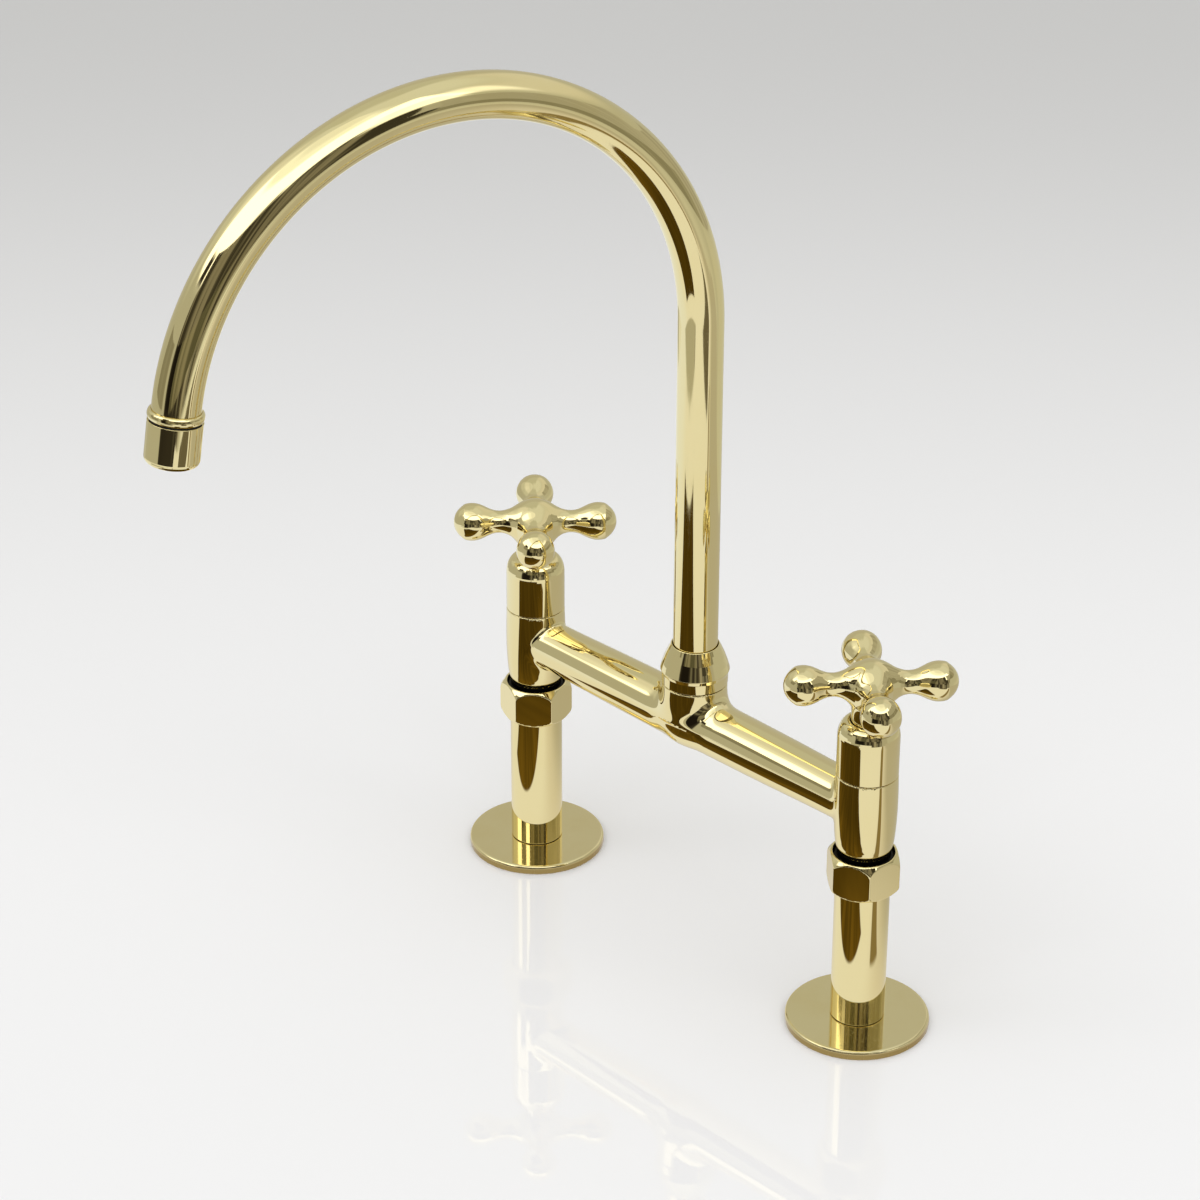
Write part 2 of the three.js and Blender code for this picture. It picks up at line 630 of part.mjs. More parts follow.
// One spoke along +X: flared at the hub, thinnest at its waist and swelling into a ball.
function spoke() {
  const meets = radians(SPOKE_JOINT);
  const joint = [BALL_RADIUS * Math.sin(meets), SPOKE_REACH + BALL_RADIUS * Math.cos(meets)];
  const slope = (joint[0] - SPOKE_RADIUS) / -Math.cos(meets);
  const guide = [SPOKE_RADIUS, joint[1] - slope * Math.sin(meets)];
  const waist = [SPOKE_RADIUS, SPOKE_WAIST];
  const root = [SPOKE_ROOT, HUB_RADIUS / 2];
  const outline = [
    [0, 0],
    [root[0], 0],
    root,
    sweep(root, [SPOKE_RADIUS, SPOKE_GUIDE], waist, 2),
    sweep(waist, guide, joint, 2),
    arc(0, SPOKE_REACH, BALL_RADIUS, BALL_RADIUS, (90 - SPOKE_JOINT) / 4, 90, 4),
  ];
  return revolve(outline, SPOKE_SIDES).rotate([0, 90, 0]);
}

function handle() {
  const hubBottom = handlePlane - HUB_RADIUS;
  let body = revolve(
    [
      [0, neckBottom],
      [NECK_RADIUS, neckBottom],
      [NECK_RADIUS, hubBottom],
      sweep([NECK_RADIUS, hubBottom], [NECK_RADIUS + HUB_BULGE, handlePlane - HUB_DOME / 2],
        [HUB_RADIUS, handlePlane], 2),
      sweep([HUB_RADIUS, handlePlane], [HUB_RADIUS - HUB_BULGE, handlePlane + 0.75 * HUB_DOME],
        [0, handlePlane + HUB_DOME], 3),
    ],
    BODY_SIDES,
  );
  const one = spoke();
  for (const turn of [0, 90, 180, 270]) {
    body = body.add(one.rotate([0, 0, turn]).translate([0, 0, handlePlane]));
  }
  const socket = splines(neckBottom - PAST, stemTop + FIT, FIT);
  const screwHole = rod(GRUB_SCREW_RADIUS + FIT, STEM_RADIUS, NECK_RADIUS + PAST);
  const hollow = socket.add(screwHole.rotate([0, 90, 45]).translate([0, 0, grubScrewHeight]));
  return body.subtract(hollow);
}

function grubScrew() {
  const shape = new THREE.Shape().absarc(0, 0, GRUB_SCREW_RADIUS, 0, 2 * Math.PI, false);
  const length = GRUB_SCREW_LENGTH;
  const key = slab(polygon(6, GRUB_SOCKET_FLATS), length - GRUB_SOCKET_DEPTH, length + PAST);
  return slab(shape, 0, length, 6)
    .subtract(key)
    .translate([0, 0, STEM_RADIUS + 2 * FIT])
    .rotate([0, 90, 45])
    .translate([0, 0, grubScrewHeight]);
}

// ------------------------------------------------------------------------------------------- spout
function spoutNut() {
  const bottom = bossTop + FIT;
  const shoulder = bottom + SPOUT_NUT_BAND;
  const hole = TUBE_RADIUS + FIT;
  return revolve([
    [BOSS_THREAD_RADIUS + FIT, bottom],
    [BOSS_RADIUS, bottom],
    [BOSS_RADIUS + FIT, shoulder - SPOUT_NUT_STEP],
    [SPOUT_NUT_RADIUS, shoulder],
    sweep([SPOUT_NUT_RADIUS, shoulder], [SPOUT_NUT_RADIUS - SPOUT_NUT_STEP, shoulder + SPOUT_NUT_GUIDE],
      [SPOUT_NUT_LIP, spoutNutTop], 3),
    [hole, spoutNutTop],
    [hole, spoutNutShelf],
    [BOSS_THREAD_RADIUS + FIT, spoutNutShelf],
  ]);
}

const spigotGrooves = SPIGOT_O_RINGS.map((below) => bossThreadTop - below);
const spigotGrooveFloor = SPIGOT_RADIUS - SPIGOT_O_RING_SECTION + GROOVE_PLAY;

function spigot() {
  const half = SPIGOT_O_RING_SECTION / 2 + 2 * GROOVE_PLAY;
  const grooves = [...spigotGrooves].reverse().flatMap((z) => [
    [SPIGOT_RADIUS, z - half],
    [spigotGrooveFloor, z - half],
    [spigotGrooveFloor, z + half],
    [SPIGOT_RADIUS, z + half],
  ]);
  return revolve([
    [SPIGOT_BORE, bossThreadTop - SPIGOT_DEPTH],
    [SPIGOT_RADIUS, bossThreadTop - SPIGOT_DEPTH],
    ...grooves,
    [SPIGOT_RADIUS, spigotCollarBottom],
    [SPIGOT_COLLAR_RADIUS, spigotCollarBottom],
    [SPIGOT_COLLAR_RADIUS, spigotCollarTop],
    [TUBE_RADIUS + FIT, spigotCollarTop],
    [TUBE_RADIUS + FIT, spigotCollarBottom],
    [SPIGOT_BORE, spigotCollarBottom],
  ], TUBE_SIDES);
}

const tubeEnd = BEAD_HEIGHT / 2; // past the end of the bend

// A bent tube: straight up, round the bend and a little way down. Each section is given by the
// angle it is turned and by how far it lies beyond the bend.
function spoutTube() {
  const bottom = spigotCollarBottom + FIT;
  const sections = Array.from({ length: BEND_STEPS + 1 }, (_, i) => [(BEND_ANGLE * i) / BEND_STEPS, 0]);
  sections.unshift([0, bottom - bendStart]);
  sections.push([BEND_ANGLE, tubeEnd]);
  const row = (radius, [angle, beyond]) => {
    const turn = radians(angle);
    return Array.from({ length: TUBE_SIDES }, (_, i) => {
      const t = (2 * Math.PI * i) / TUBE_SIDES;
      const out = BEND_RADIUS - radius * Math.cos(t);
      return [
        BEND_RADIUS - out * Math.cos(turn) + beyond * Math.sin(turn),
        radius * Math.sin(t),
        bendStart + out * Math.sin(turn) + beyond * Math.cos(turn),
      ];
    });
  };
  const outside = sections.map((section) => row(TUBE_RADIUS, section));
  const inside = sections.map((section) => row(TUBE_RADIUS - TUBE_WALL, section));
  return skin([...outside, ...inside.reverse()], true);
}

// Pieces of the outlet are drawn about Z, pointing down from 0, and hung on the tube's end.
function atOutlet(body) {
  const turn = radians(BEND_ANGLE);
  const end = new THREE.Vector3(
    BEND_RADIUS * (1 - Math.cos(turn)),
    0,
    bendStart + BEND_RADIUS * Math.sin(turn),
  );
  return body.rotate([0, BEND_ANGLE - 180, 0]).translate(end.toArray());
}

const beadBottom = BEAD_ABOVE_BEND - BEAD_HEIGHT;
const washerTop = beadBottom - OUTLET_PLAY;
const aeratorTop = washerTop - OUTLET_WASHER_THICKNESS - OUTLET_PLAY;
const aeratorBottom = aeratorTop - AERATOR_LENGTH;
const nippleBottom = beadBottom - NIPPLE_LENGTH;

function tipCollar() {
  const [half, middle] = [BEAD_HEIGHT / 2, (BEAD_ABOVE_BEND + beadBottom) / 2];
  return revolve([
    [TUBE_RADIUS + FIT, BEAD_ABOVE_BEND],
    [TUBE_RADIUS + FIT, -tubeEnd - FIT],
    [NIPPLE_BORE, -tubeEnd - FIT],
    [NIPPLE_BORE, nippleBottom],
    [NIPPLE_RADIUS, nippleBottom],
    [NIPPLE_RADIUS, beadBottom],
    arc(BEAD_RADIUS - 1, middle, 1, half, -90, 90, 3),
  ]);
}

const aeratorSealTop = nippleBottom - FIT;
const aeratorSealBottom = aeratorSealTop - AERATOR_SEAL_THICKNESS;
const insertTop = aeratorSealBottom - FIT;
const screenBottom = aeratorBottom + OUTLET_LEDGE + FIT;

function aeratorHousing() {
  const bore = NIPPLE_RADIUS + FIT;
  return revolve([
    [bore, aeratorTop],
    [bore, aeratorBottom + OUTLET_LEDGE],
    [OUTLET_RADIUS, aeratorBottom + OUTLET_LEDGE],
    [OUTLET_RADIUS, aeratorBottom],
    arc(AERATOR_RADIUS - AERATOR_ROUND, aeratorBottom + AERATOR_ROUND, AERATOR_ROUND, AERATOR_ROUND,
      -90, 0, 3),
    [AERATOR_RADIUS, aeratorTop - AERATOR_CHAMFER],
    [AERATOR_RADIUS - AERATOR_CHAMFER, aeratorTop],
  ]);
}

// A disc with rings of square holes through it.
function pierced(radius, low, high, rings, hole) {
  const drill = slab(polygon(4, 2 * hole), low - PAST, high + PAST);
  let disc = rod(radius, low, high);
  for (const [count, at] of rings) {
    for (let i = 0; i < count; i++) {
      const t = (2 * Math.PI * i) / count;
      disc = disc.subtract(drill.translate([at * Math.cos(t), at * Math.sin(t), 0]));
    }
  }
  return disc;
}

function aeratorInsert() {
  const rim = ring(NIPPLE_RADIUS - INSERT_WALL, NIPPLE_RADIUS, insertTop - INSERT_HEIGHT, insertTop);
  const [radius, top] = [NIPPLE_RADIUS - INSERT_WALL / 2, insertTop - INSERT_WALL / 4];
  return rim.add(pierced(radius, top - INSERT_PLATE, top, INSERT_HOLES, INSERT_HOLE));
}

function aeratorScreen() {
  const top = screenBottom + SCREEN_THICKNESS;
  return pierced(NIPPLE_RADIUS, screenBottom, top, SCREEN_HOLES, SCREEN_HOLE);
}

// ---------------------------------------------------------------------------------------- assembly
const faucet = new THREE.Group();
faucet.name = "bridge_kitchen_faucet";

// Everything on one leg. `side` is -1 on the hot side and 1 on the cold side.
function addSide(side, label, nutTurn, handleTurn) {
  const place = new THREE.Group();
  place.position.x = (side * LEG_CENTRES) / 2;
  const add = (name, body, material) => place.add(piece(`${label}_${name}`, body, material));
  // The handle, and what turns with it or fits it.
  const addTurned = (name, body, material) => {
    const mesh = piece(`${label}_${name}`, body, material);
    mesh.rotation.z = radians(handleTurn);
    place.add(mesh);
  };
  const rubberTop = -WORKTOP;
  const clampTop = rubberTop - RUBBER_THICKNESS - FIT;
  const nutTop = clampTop - CLAMP_THICKNESS - FIT;
  const shankHole = SHANK_RADIUS + FIT;
  const washerBottom = legTop + FIT;
  add("flange", flange(), BRASS);
  add("flange_gasket", ring(shankHole, GASKET_RADIUS, 0, GASKET_THICKNESS), RUBBER);
  add("leg", leg(), BRASS);
  add("backing_washer", ring(shankHole, CLAMP_RADIUS - 2 * FIT, rubberTop - RUBBER_THICKNESS,
    rubberTop), RUBBER);
  add("clamp_washer", ring(shankHole, CLAMP_RADIUS, clampTop - CLAMP_THICKNESS, clampTop), STEEL);
  add("locknut", locknut(nutTop), BRASS);
  add("union_washer", ring(WATERWAY_RADIUS + FIT, COLLAR_RADIUS - FIT, washerBottom,
    washerBottom + RUBBER_THICKNESS), RUBBER);
  add("union_nut", unionNut(nutTurn), BRASS);
  add("seat_seal", ring(discRadius - PORT_LAND, discRadius, sealBottom, sealBottom + SEAL_THICKNESS),
    RUBBER);
  add("cartridge_body", cartridgeBody(), BRASS);
  addTurned("fixed_disc", fixedDisc(), CERAMIC);
  addTurned("moving_disc", movingDisc(), CERAMIC);
  addTurned("stem", stem(), BRASS);
  add("stem_o_ring", oRing(STEM_RADIUS - O_RING_SECTION / 2 + GROOVE_PLAY, O_RING_SECTION, stemGroove),
    RUBBER);
  add("stem_circlip", circlip(), STEEL);
  add("bonnet", bonnet(), BRASS);
  addTurned("handle", handle(), BRASS);
  addTurned("handle_grub_screw", grubScrew(), STEEL);
  faucet.add(place);
}

function addSpout() {
  const spout = new THREE.Group();
  spout.rotation.z = radians(SPOUT_TURN);
  const add = (name, body, material) => spout.add(piece(name, body, material));
  const ringRadius = spigotGrooveFloor + SPIGOT_O_RING_SECTION / 2 + GROOVE_PLAY;
  add("spout_spigot", spigot(), BRASS);
  spigotGrooves.forEach((z, i) => {
    const body = oRing(ringRadius, SPIGOT_O_RING_SECTION, z, TUBE_SIDES);
    add(`spout_o_ring_${["upper", "lower"][i]}`, body, RUBBER);
  });
  add("spout_slip_ring", ring(TUBE_RADIUS + FIT, SPIGOT_COLLAR_RADIUS, slipRingBottom,
    slipRingBottom + SLIP_RING_THICKNESS), NYLON);
  add("spout_tube", spoutTube(), BRASS);
  add("tip_collar", atOutlet(tipCollar()), BRASS);
  add("aerator_washer", atOutlet(ring(NIPPLE_RADIUS + FIT, BEAD_RADIUS - 0.5,
    washerTop - OUTLET_WASHER_THICKNESS, washerTop)), RUBBER);
  add("aerator_housing", atOutlet(aeratorHousing()), BRASS);
  add("aerator_seal", atOutlet(ring(NIPPLE_BORE, NIPPLE_RADIUS, aeratorSealBottom, aeratorSealTop)),
    RUBBER);
  add("aerator_insert", atOutlet(aeratorInsert()), NYLON);
  add("aerator_screen", atOutlet(aeratorScreen()), STEEL);
  faucet.add(spout);
}

addSide(-1, "hot", HOT_NUT_TURN, HOT_HANDLE_TURN);
addSide(1, "cold", COLD_NUT_TURN, COLD_HANDLE_TURN);
faucet.add(piece("bridge_body", bridgeBody(), BRASS));
faucet.add(piece("spout_nut", spoutNut(), BRASS));
addSpout();

export default faucet;
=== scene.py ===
"""Looks of a polished brass bridge kitchen faucet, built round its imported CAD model.

Every piece is worked out in millimetres with numpy and put into a mesh in metres. The heights and
axes come from the frame's own boxes, so a piece stays where its CAD node is.
"""

import logging
import math
from dataclasses import dataclass, replace
from enum import Enum
from typing import Callable, Optional, Sequence, Union

import bpy
import numpy as np
from mathutils import Matrix, Vector


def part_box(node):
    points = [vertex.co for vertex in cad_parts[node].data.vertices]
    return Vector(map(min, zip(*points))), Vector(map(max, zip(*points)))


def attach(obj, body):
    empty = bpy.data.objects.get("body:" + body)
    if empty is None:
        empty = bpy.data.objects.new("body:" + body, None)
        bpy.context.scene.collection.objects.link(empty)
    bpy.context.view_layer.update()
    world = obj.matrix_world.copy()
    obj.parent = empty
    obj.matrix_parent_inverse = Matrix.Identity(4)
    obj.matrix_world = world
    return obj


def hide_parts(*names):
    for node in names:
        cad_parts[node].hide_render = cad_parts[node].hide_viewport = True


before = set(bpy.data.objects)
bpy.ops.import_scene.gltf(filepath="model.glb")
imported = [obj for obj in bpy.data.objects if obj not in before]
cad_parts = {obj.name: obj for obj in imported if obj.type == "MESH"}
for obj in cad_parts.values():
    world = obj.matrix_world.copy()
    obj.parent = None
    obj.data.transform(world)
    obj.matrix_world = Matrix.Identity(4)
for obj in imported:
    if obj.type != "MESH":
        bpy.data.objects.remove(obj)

Array = np.ndarray
Field = Callable[[Array], Array]
Colour = tuple[float, float, float]
Corner = tuple[float, float, float]
Profile = tuple[tuple[float, float], ...]
log = logging.getLogger("faucet")

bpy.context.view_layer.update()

MM = 0.001
DEGREES = 180 / math.pi

# Clearance between pieces that touch, and how far one form runs into the next, in millimetres.
GAP = 0.3
OVERLAP = 1.0

# Roundings of turned corners and of edges cut in a distance field, in millimetres.
FINE, CRISP, BROKEN, SOFT = 0.1, 0.2, 0.3, 0.5
FINE_EDGE, EDGE, SOFT_EDGE = 0.4, 0.5, 0.6

# The share of a side that a corner's arc may take.
ARC_ROOM = 0.48

# How often implicit moves its points, how often it evens them out as well, and how far.
SETTLING_TURNS, EVENED_TURNS, EVENED_SHARE = 8, 5, 0.6

# A distance past every piece, and numbers that count as nothing.
FAR = 1e3
UNMOVED = 1e-6
TINY = 1e-9


# ------------------------------------------------------------------------------ meshes from arrays
@dataclass(frozen=True)
class Placement:
    """Where a piece that is drawn about Z goes: turned about Y, then about Z, then moved."""

    origin: tuple[float, float, float] = (0.0, 0.0, 0.0)
    about_y: float = 0.0
    about_z: float = 0.0

    def turn(self, vectors: Array) -> Array:
        """Turns directions.

        Args:
            vectors: directions, one in each row.

        Returns:
            The turned directions.
        """
        b, c = math.radians(self.about_y), math.radians(self.about_z)
        tilt = np.array([[math.cos(b), 0, math.sin(b)], [0, 1, 0], [-math.sin(b), 0, math.cos(b)]])
        spin = np.array([[math.cos(c), -math.sin(c), 0], [math.sin(c), math.cos(c), 0], [0, 0, 1]])
        return vectors @ (spin @ tilt).T

    def place(self, points: Array) -> Array:
        """Turns and moves points, given and returned in millimetres."""
        return self.turn(points) + np.array(self.origin)


def make_object(
    name: str, points: Array, faces: Array, normals: Optional[Array] = None,
) -> bpy.types.Object:
    """Puts a closed surface into a mesh whose shading follows the surface's true normals.

    Args:
        name: the new object's name.
        points: corners in millimetres, one in each row.
        faces: four corner numbers in each row; a corner that repeats its neighbour is dropped.
        normals: the surface's direction at each point, all pointing out or all pointing in; left
            out, the faces as given point outwards and are shaded by themselves.

    Returns:
        The new object, at the origin.
    """
    used, faces = np.unique(faces, return_inverse=True)
    points, faces = points[used], faces.reshape(-1, 4)
    if normals is not None:
        normals = normals[used]
        a, b, c, d = (points[faces[:, i]] for i in range(4))
        if (a * np.cross(b, c)).sum() + (a * np.cross(c, d)).sum() < 0:
            faces = faces[:, ::-1]
        a, b, c, d = (points[faces[:, i]] for i in range(4))
        if (np.cross(c - a, d - b) * normals[faces[:, 0]]).sum() < 0:
            normals = -normals
    kept = faces != np.roll(faces, -1, axis=1)
    whole = kept.sum(axis=1) >= 3
    totals = kept[whole].sum(axis=1)
    loops = faces[whole][kept[whole]]
    mesh = bpy.data.meshes.new(name)
    mesh.vertices.add(len(points))
    mesh.vertices.foreach_set("co", (points * MM).ravel())
    mesh.loops.add(len(loops))
    mesh.loops.foreach_set("vertex_index", loops.astype(np.int32))
    mesh.polygons.add(len(totals))
    mesh.polygons.foreach_set("loop_start", (np.cumsum(totals) - totals).astype(np.int32))
    mesh.polygons.foreach_set("use_smooth", np.ones(len(totals), dtype=bool))
    mesh.update(calc_edges=True)
    mesh.validate()
    if normals is not None:
        lengths = np.maximum(np.linalg.norm(normals, axis=1, keepdims=True), TINY)
        mesh.normals_split_custom_set_from_vertices(normals / lengths)
    piece = bpy.data.objects.new(name, mesh)
    bpy.context.scene.collection.objects.link(piece)
    return piece


def grid_faces(rows: int, columns: int, loop_rows: bool, poles: bool) -> Array:
    """Numbers the faces of a grid whose columns go all the way round.

    Args:
        rows: how many rows the grid has.
        columns: how many points lie in each row.
        loop_rows: whether the last row joins the first.
        poles: whether the first and last rows are single points.

    Returns:
        Four corner numbers for each face.
    """
    number = np.arange(rows * columns).reshape(rows, columns)
    if poles:
        number[0], number[-1] = number[0, 0], number[-1, 0]
    number = np.concatenate([number, number[:, :1]], axis=1)
    if loop_rows:
        number = np.concatenate([number, number[:1]], axis=0)
    corners = (number[:-1, :-1], number[1:, :-1], number[1:, 1:], number[:-1, 1:])
    return np.stack(corners, axis=-1).reshape(-1, 4)


def outline(corners: Sequence[Corner], steps: int = 6) -> tuple[Array, Array]:
    """Rounds the corners of an outline with circular arcs.

    An arc from A to B about the corner P is the rational curve
    ((1-t)^2 A + 2 w t (1-t) P + t^2 B) / ((1-t)^2 + 2 w t (1-t) + t^2), with w the cosine of half
    the turn at P. Its direction at t gives the normal, so straight stretches shade as straight.

    Args:
        corners: radius, height and rounding of each corner, in millimetres.
        steps: points along each arc, less one.

    Returns:
        The outline's points and normals, as radius and height.
    """
    given = np.array(corners, dtype=float)
    closed = given[0, 0] > 0
    places = given[:, :2]
    before, after = np.roll(places, 1, axis=0), np.roll(places, -1, axis=0)
    into, out = places - before, after - places
    near, far = np.linalg.norm(into, axis=1), np.linalg.norm(out, axis=1)
    into, out = into / near[:, None], out / far[:, None]
    half = np.arccos(np.clip((into * out).sum(axis=1), -1, 1)) / 2
    reach = np.minimum(given[:, 2] * np.tan(half), ARC_ROOM * np.minimum(near, far))
    t = np.linspace(0, 1, steps + 1)[None, :, None]
    start = (places - into * reach[:, None])[:, None]
    end = (places + out * reach[:, None])[:, None]
    weight = np.cos(half)[:, None, None]
    parts = ((1 - t) ** 2, 2 * weight * t * (1 - t), t**2)
    curve = (parts[0] * start + parts[1] * places[:, None] + parts[2] * end) / sum(parts)
    along = into[:, None] * (1 - t) + out[:, None] * t
    normals = np.stack([along[..., 1], -along[..., 0]], axis=-1)
    if not closed:
        curve[[0, -1]] = places[[0, -1], None]
        normals[0], normals[-1] = (0, -1), (0, 1)
        curve, normals = list(curve), list(normals)
        curve[0], normals[0] = curve[0][:1], normals[0][:1]
        curve[-1], normals[-1] = curve[-1][:1], normals[-1][:1]
        return np.concatenate(curve), np.concatenate(normals)
    return curve.reshape(-1, 2), normals.reshape(-1, 2)


def lathe(
    name: str,
    corners: Sequence[Corner],
    place: Placement = Placement(),
    sides: int = 96,
    steps: int = 6,
    shape: Optional[Callable[[Array, Array], Array]] = None,
) -> bpy.types.Object:
    """Turns a rounded outline about Z.

    Args:
        name: the piece's name.
        corners: radius, height and rounding of each corner; an outline that starts and ends at
            radius 0 is closed on the axis, and any other one is a ring.
        place: where the turned piece goes.
        sides: steps round the axis.
        steps: steps round each corner.
        shape: adds to the radius, from the angle and the outline's points, for threads and teeth.

    Returns:
        The piece.
    """
    points, normals = outline(corners, steps)
    angle = np.linspace(0, 2 * math.pi, sides, endpoint=False)
    radius = np.repeat(points[:, :1], sides, axis=1)
    height = np.repeat(points[:, 1:], sides, axis=1)
    if shape is not None:
        radius = radius + shape(angle[None, :], points)
    circle = np.stack([np.cos(angle), np.sin(angle)], axis=-1)
    position = np.concatenate([radius[..., None] * circle, height[..., None]], axis=-1)
    flat = normals[:, None, :1] * circle
    direction = np.concatenate([flat, np.repeat(normals[:, None, 1:], sides, axis=1)], axis=-1)
    if shape is not None:
        along = np.gradient(position, axis=0)
        around = np.roll(position, -1, axis=1) - np.roll(position, 1, axis=1)
        bent = np.cross(around, along)
        bent = bent / (np.linalg.norm(bent, axis=-1, keepdims=True) + TINY)
        moved = (np.abs(shape(angle[None, :], points)) > UNMOVED)[..., None]
        direction = np.where(moved, bent, direction)
    poles = corners[0][0] == 0
    faces = grid_faces(len(points), sides, loop_rows=not poles, poles=poles)
    return make_object(
        name, place.place(position.reshape(-1, 3)), faces, place.turn(direction.reshape(-1, 3)),
    )


def ring(
    name: str, inner: float, outer: float, low: float, high: float, rounding: float,
    place: Placement = Placement(),
) -> bpy.types.Object:
    """Makes a washer: a turned rectangle with rounded corners, sizes in millimetres."""
    section = ((inner, low), (outer, low), (outer, high), (inner, high))
    return lathe(name, [(radius, height, rounding) for radius, height in section], place)


# --------------------------------------------------------------------- surfaces from distance fields
def blend(first: Array, second: Array, width: float) -> Array:
    """Joins two distance fields with a fillet.

    The result is min(a, b) - width/6 h^3, where h = max(width - |a - b|, 0) / width.
    """
    near = np.maximum(width - np.abs(first - second), 0) / width
    return np.minimum(first, second) - near**3 * width / 6


def cut(first: Array, second: Array, width: float) -> Array:
    """Keeps what is in both fields, with a rounded edge: the mirror image of blend."""
    return -blend(-first, -second, width)


def about_z(points: Array) -> tuple[Array, Array]:
    """Each point's distance from the Z axis, and its height."""
    return np.hypot(points[..., 0], points[..., 1]), points[..., 2]


def triangle(turns: Array) -> Array:
    """A wave that falls from 0.5 to 0 and rises again in each turn: |fraction of the turn - 0.5|."""
    return np.abs(turns % 1 - 0.5)


def profile(start: float, near: Profile, end: float, far: Profile) -> Profile:
    """Joins two tables of heights and radii, counted from the start and from the end."""
    return tuple((start + z, r) for z, r in near) + tuple((end + z, r) for z, r in far)


def tapered(distance: Array, height: Array, table: Profile) -> Array:
    """Distance to a turned surface whose radius at a height runs smoothly through given radii.

    Between two given heights the radius is the cubic that meets both radii there with the slopes
    of the parabolas through their neighbours.

    Args:
        distance: distance from the axis.
        height: place along the axis.
        table: rising heights, and the radii there.

    Returns:
        The signed distance, near enough beside the surface.
    """
    heights, radii = zip(*table)
    step = np.diff(heights)
    rise = np.diff(radii) / step
    middle = (rise[:-1] * step[1:] + rise[1:] * step[:-1]) / (step[:-1] + step[1:])
    slopes = np.concatenate([rise[:1], middle, rise[-1:]])
    place = np.clip(height, heights[0], heights[-1])
    cell = np.clip(np.searchsorted(heights, place) - 1, 0, len(step) - 1)
    t = (place - np.take(heights, cell)) / step[cell]
    hermite = (
        (1 + 2 * t) * (1 - t) ** 2 * np.take(radii, cell)
        + t * (1 - t) ** 2 * step[cell] * slopes[cell]
        + t**2 * (3 - 2 * t) * np.take(radii, cell + 1)
        + t**2 * (t - 1) * step[cell] * slopes[cell + 1]
    )
    return distance - hermite


def between(height: Array, low: float, high: float) -> Array:
    """Distance to a slab between two heights."""
    return np.maximum(low - height, height - high)


def gradient(surface: Field, points: Array, step: float = 1e-3) -> Array:
    """The field's slope at each point, from central differences a thousandth of a millimetre wide."""
    moves = np.eye(3) * step
    return np.stack([surface(points + m) - surface(points - m) for m in moves], axis=-1) / (2 * step)


def implicit(
    name: str, surface: Field, low: Sequence[float], high: Sequence[float], cell: float,
    place: Placement = Placement(),
) -> bpy.types.Object:
    """Meshes the zero set of a distance field.

    Each grid cell that the surface crosses gets one point, and each grid edge that it crosses
    joins the four cells round that edge. The points are then evened out and moved along the
    field's slope until the field is zero there, so that reflections run smoothly.

    Args:
        name: the piece's name.
        surface: the field, negative inside, in millimetres.
        low: the lowest corner of the box to search.
        high: its highest corner.
        cell: the grid's step.
        place: where the piece goes.

    Returns:
        The piece.
    """
    lines = [np.arange(a - cell, b + 2 * cell, cell) for a, b in zip(low, high)]
    inside = surface(np.stack(np.meshgrid(*lines, indexing="ij"), axis=-1)) < 0
    corners = [inside[i : i - 1 or None, j : j - 1 or None, k : k - 1 or None]
               for i in (0, 1) for j in (0, 1) for k in (0, 1)]
    count = sum(c.astype(int) for c in corners)
    crossed = (count > 0) & (count < 8)
    number = np.full(crossed.shape, -1)
    number[crossed] = np.arange(crossed.sum())
    places = np.argwhere(crossed)
    points = np.array([line[0] for line in lines]) + (places + 0.5) * cell
    round_edge = ((0, 0), (1, 0), (1, 1), (0, 1))
    quads = []
    for axis in range(3):
        ahead = np.swapaxes(inside, 0, axis)
        ahead = ahead[:-1] != ahead[1:]
        i, j, k = np.nonzero(ahead[:, 1:-1, 1:-1])
        cells = np.swapaxes(number, 0, axis)
        quad = np.stack([cells[i, j + dj, k + dk] for dj, dk in round_edge], axis=-1)
        solid = np.swapaxes(inside, 0, axis)[i, j + 1, k + 1]
        turned = solid if axis == 0 else ~solid
        quad[turned] = quad[turned][:, ::-1]
        quads.append(quad)
    faces = np.concatenate(quads)
    edges = np.concatenate([faces[:, [i, (i + 1) % 4]] for i in range(4)])
    shares = np.bincount(edges.ravel(), minlength=len(points))[:, None]
    for turn in range(SETTLING_TURNS):
        slope = gradient(surface, points)
        size = np.maximum((slope**2).sum(axis=1, keepdims=True), UNMOVED)
        points = points - surface(points)[:, None] * slope / size
        if turn < EVENED_TURNS:
            total = np.zeros_like(points)
            for axis in range(3):
                total[:, axis] = np.bincount(edges[:, 0], points[edges[:, 1], axis], len(points))
                total[:, axis] += np.bincount(edges[:, 1], points[edges[:, 0], axis], len(points))
            points = (1 - EVENED_SHARE) * points + EVENED_SHARE * total / shares
    return make_object(name, place.place(points), faces, place.turn(gradient(surface, points)))


# --------------------------------------------------------------------------------- shader arithmetic
Number = Union[float, "Value"]


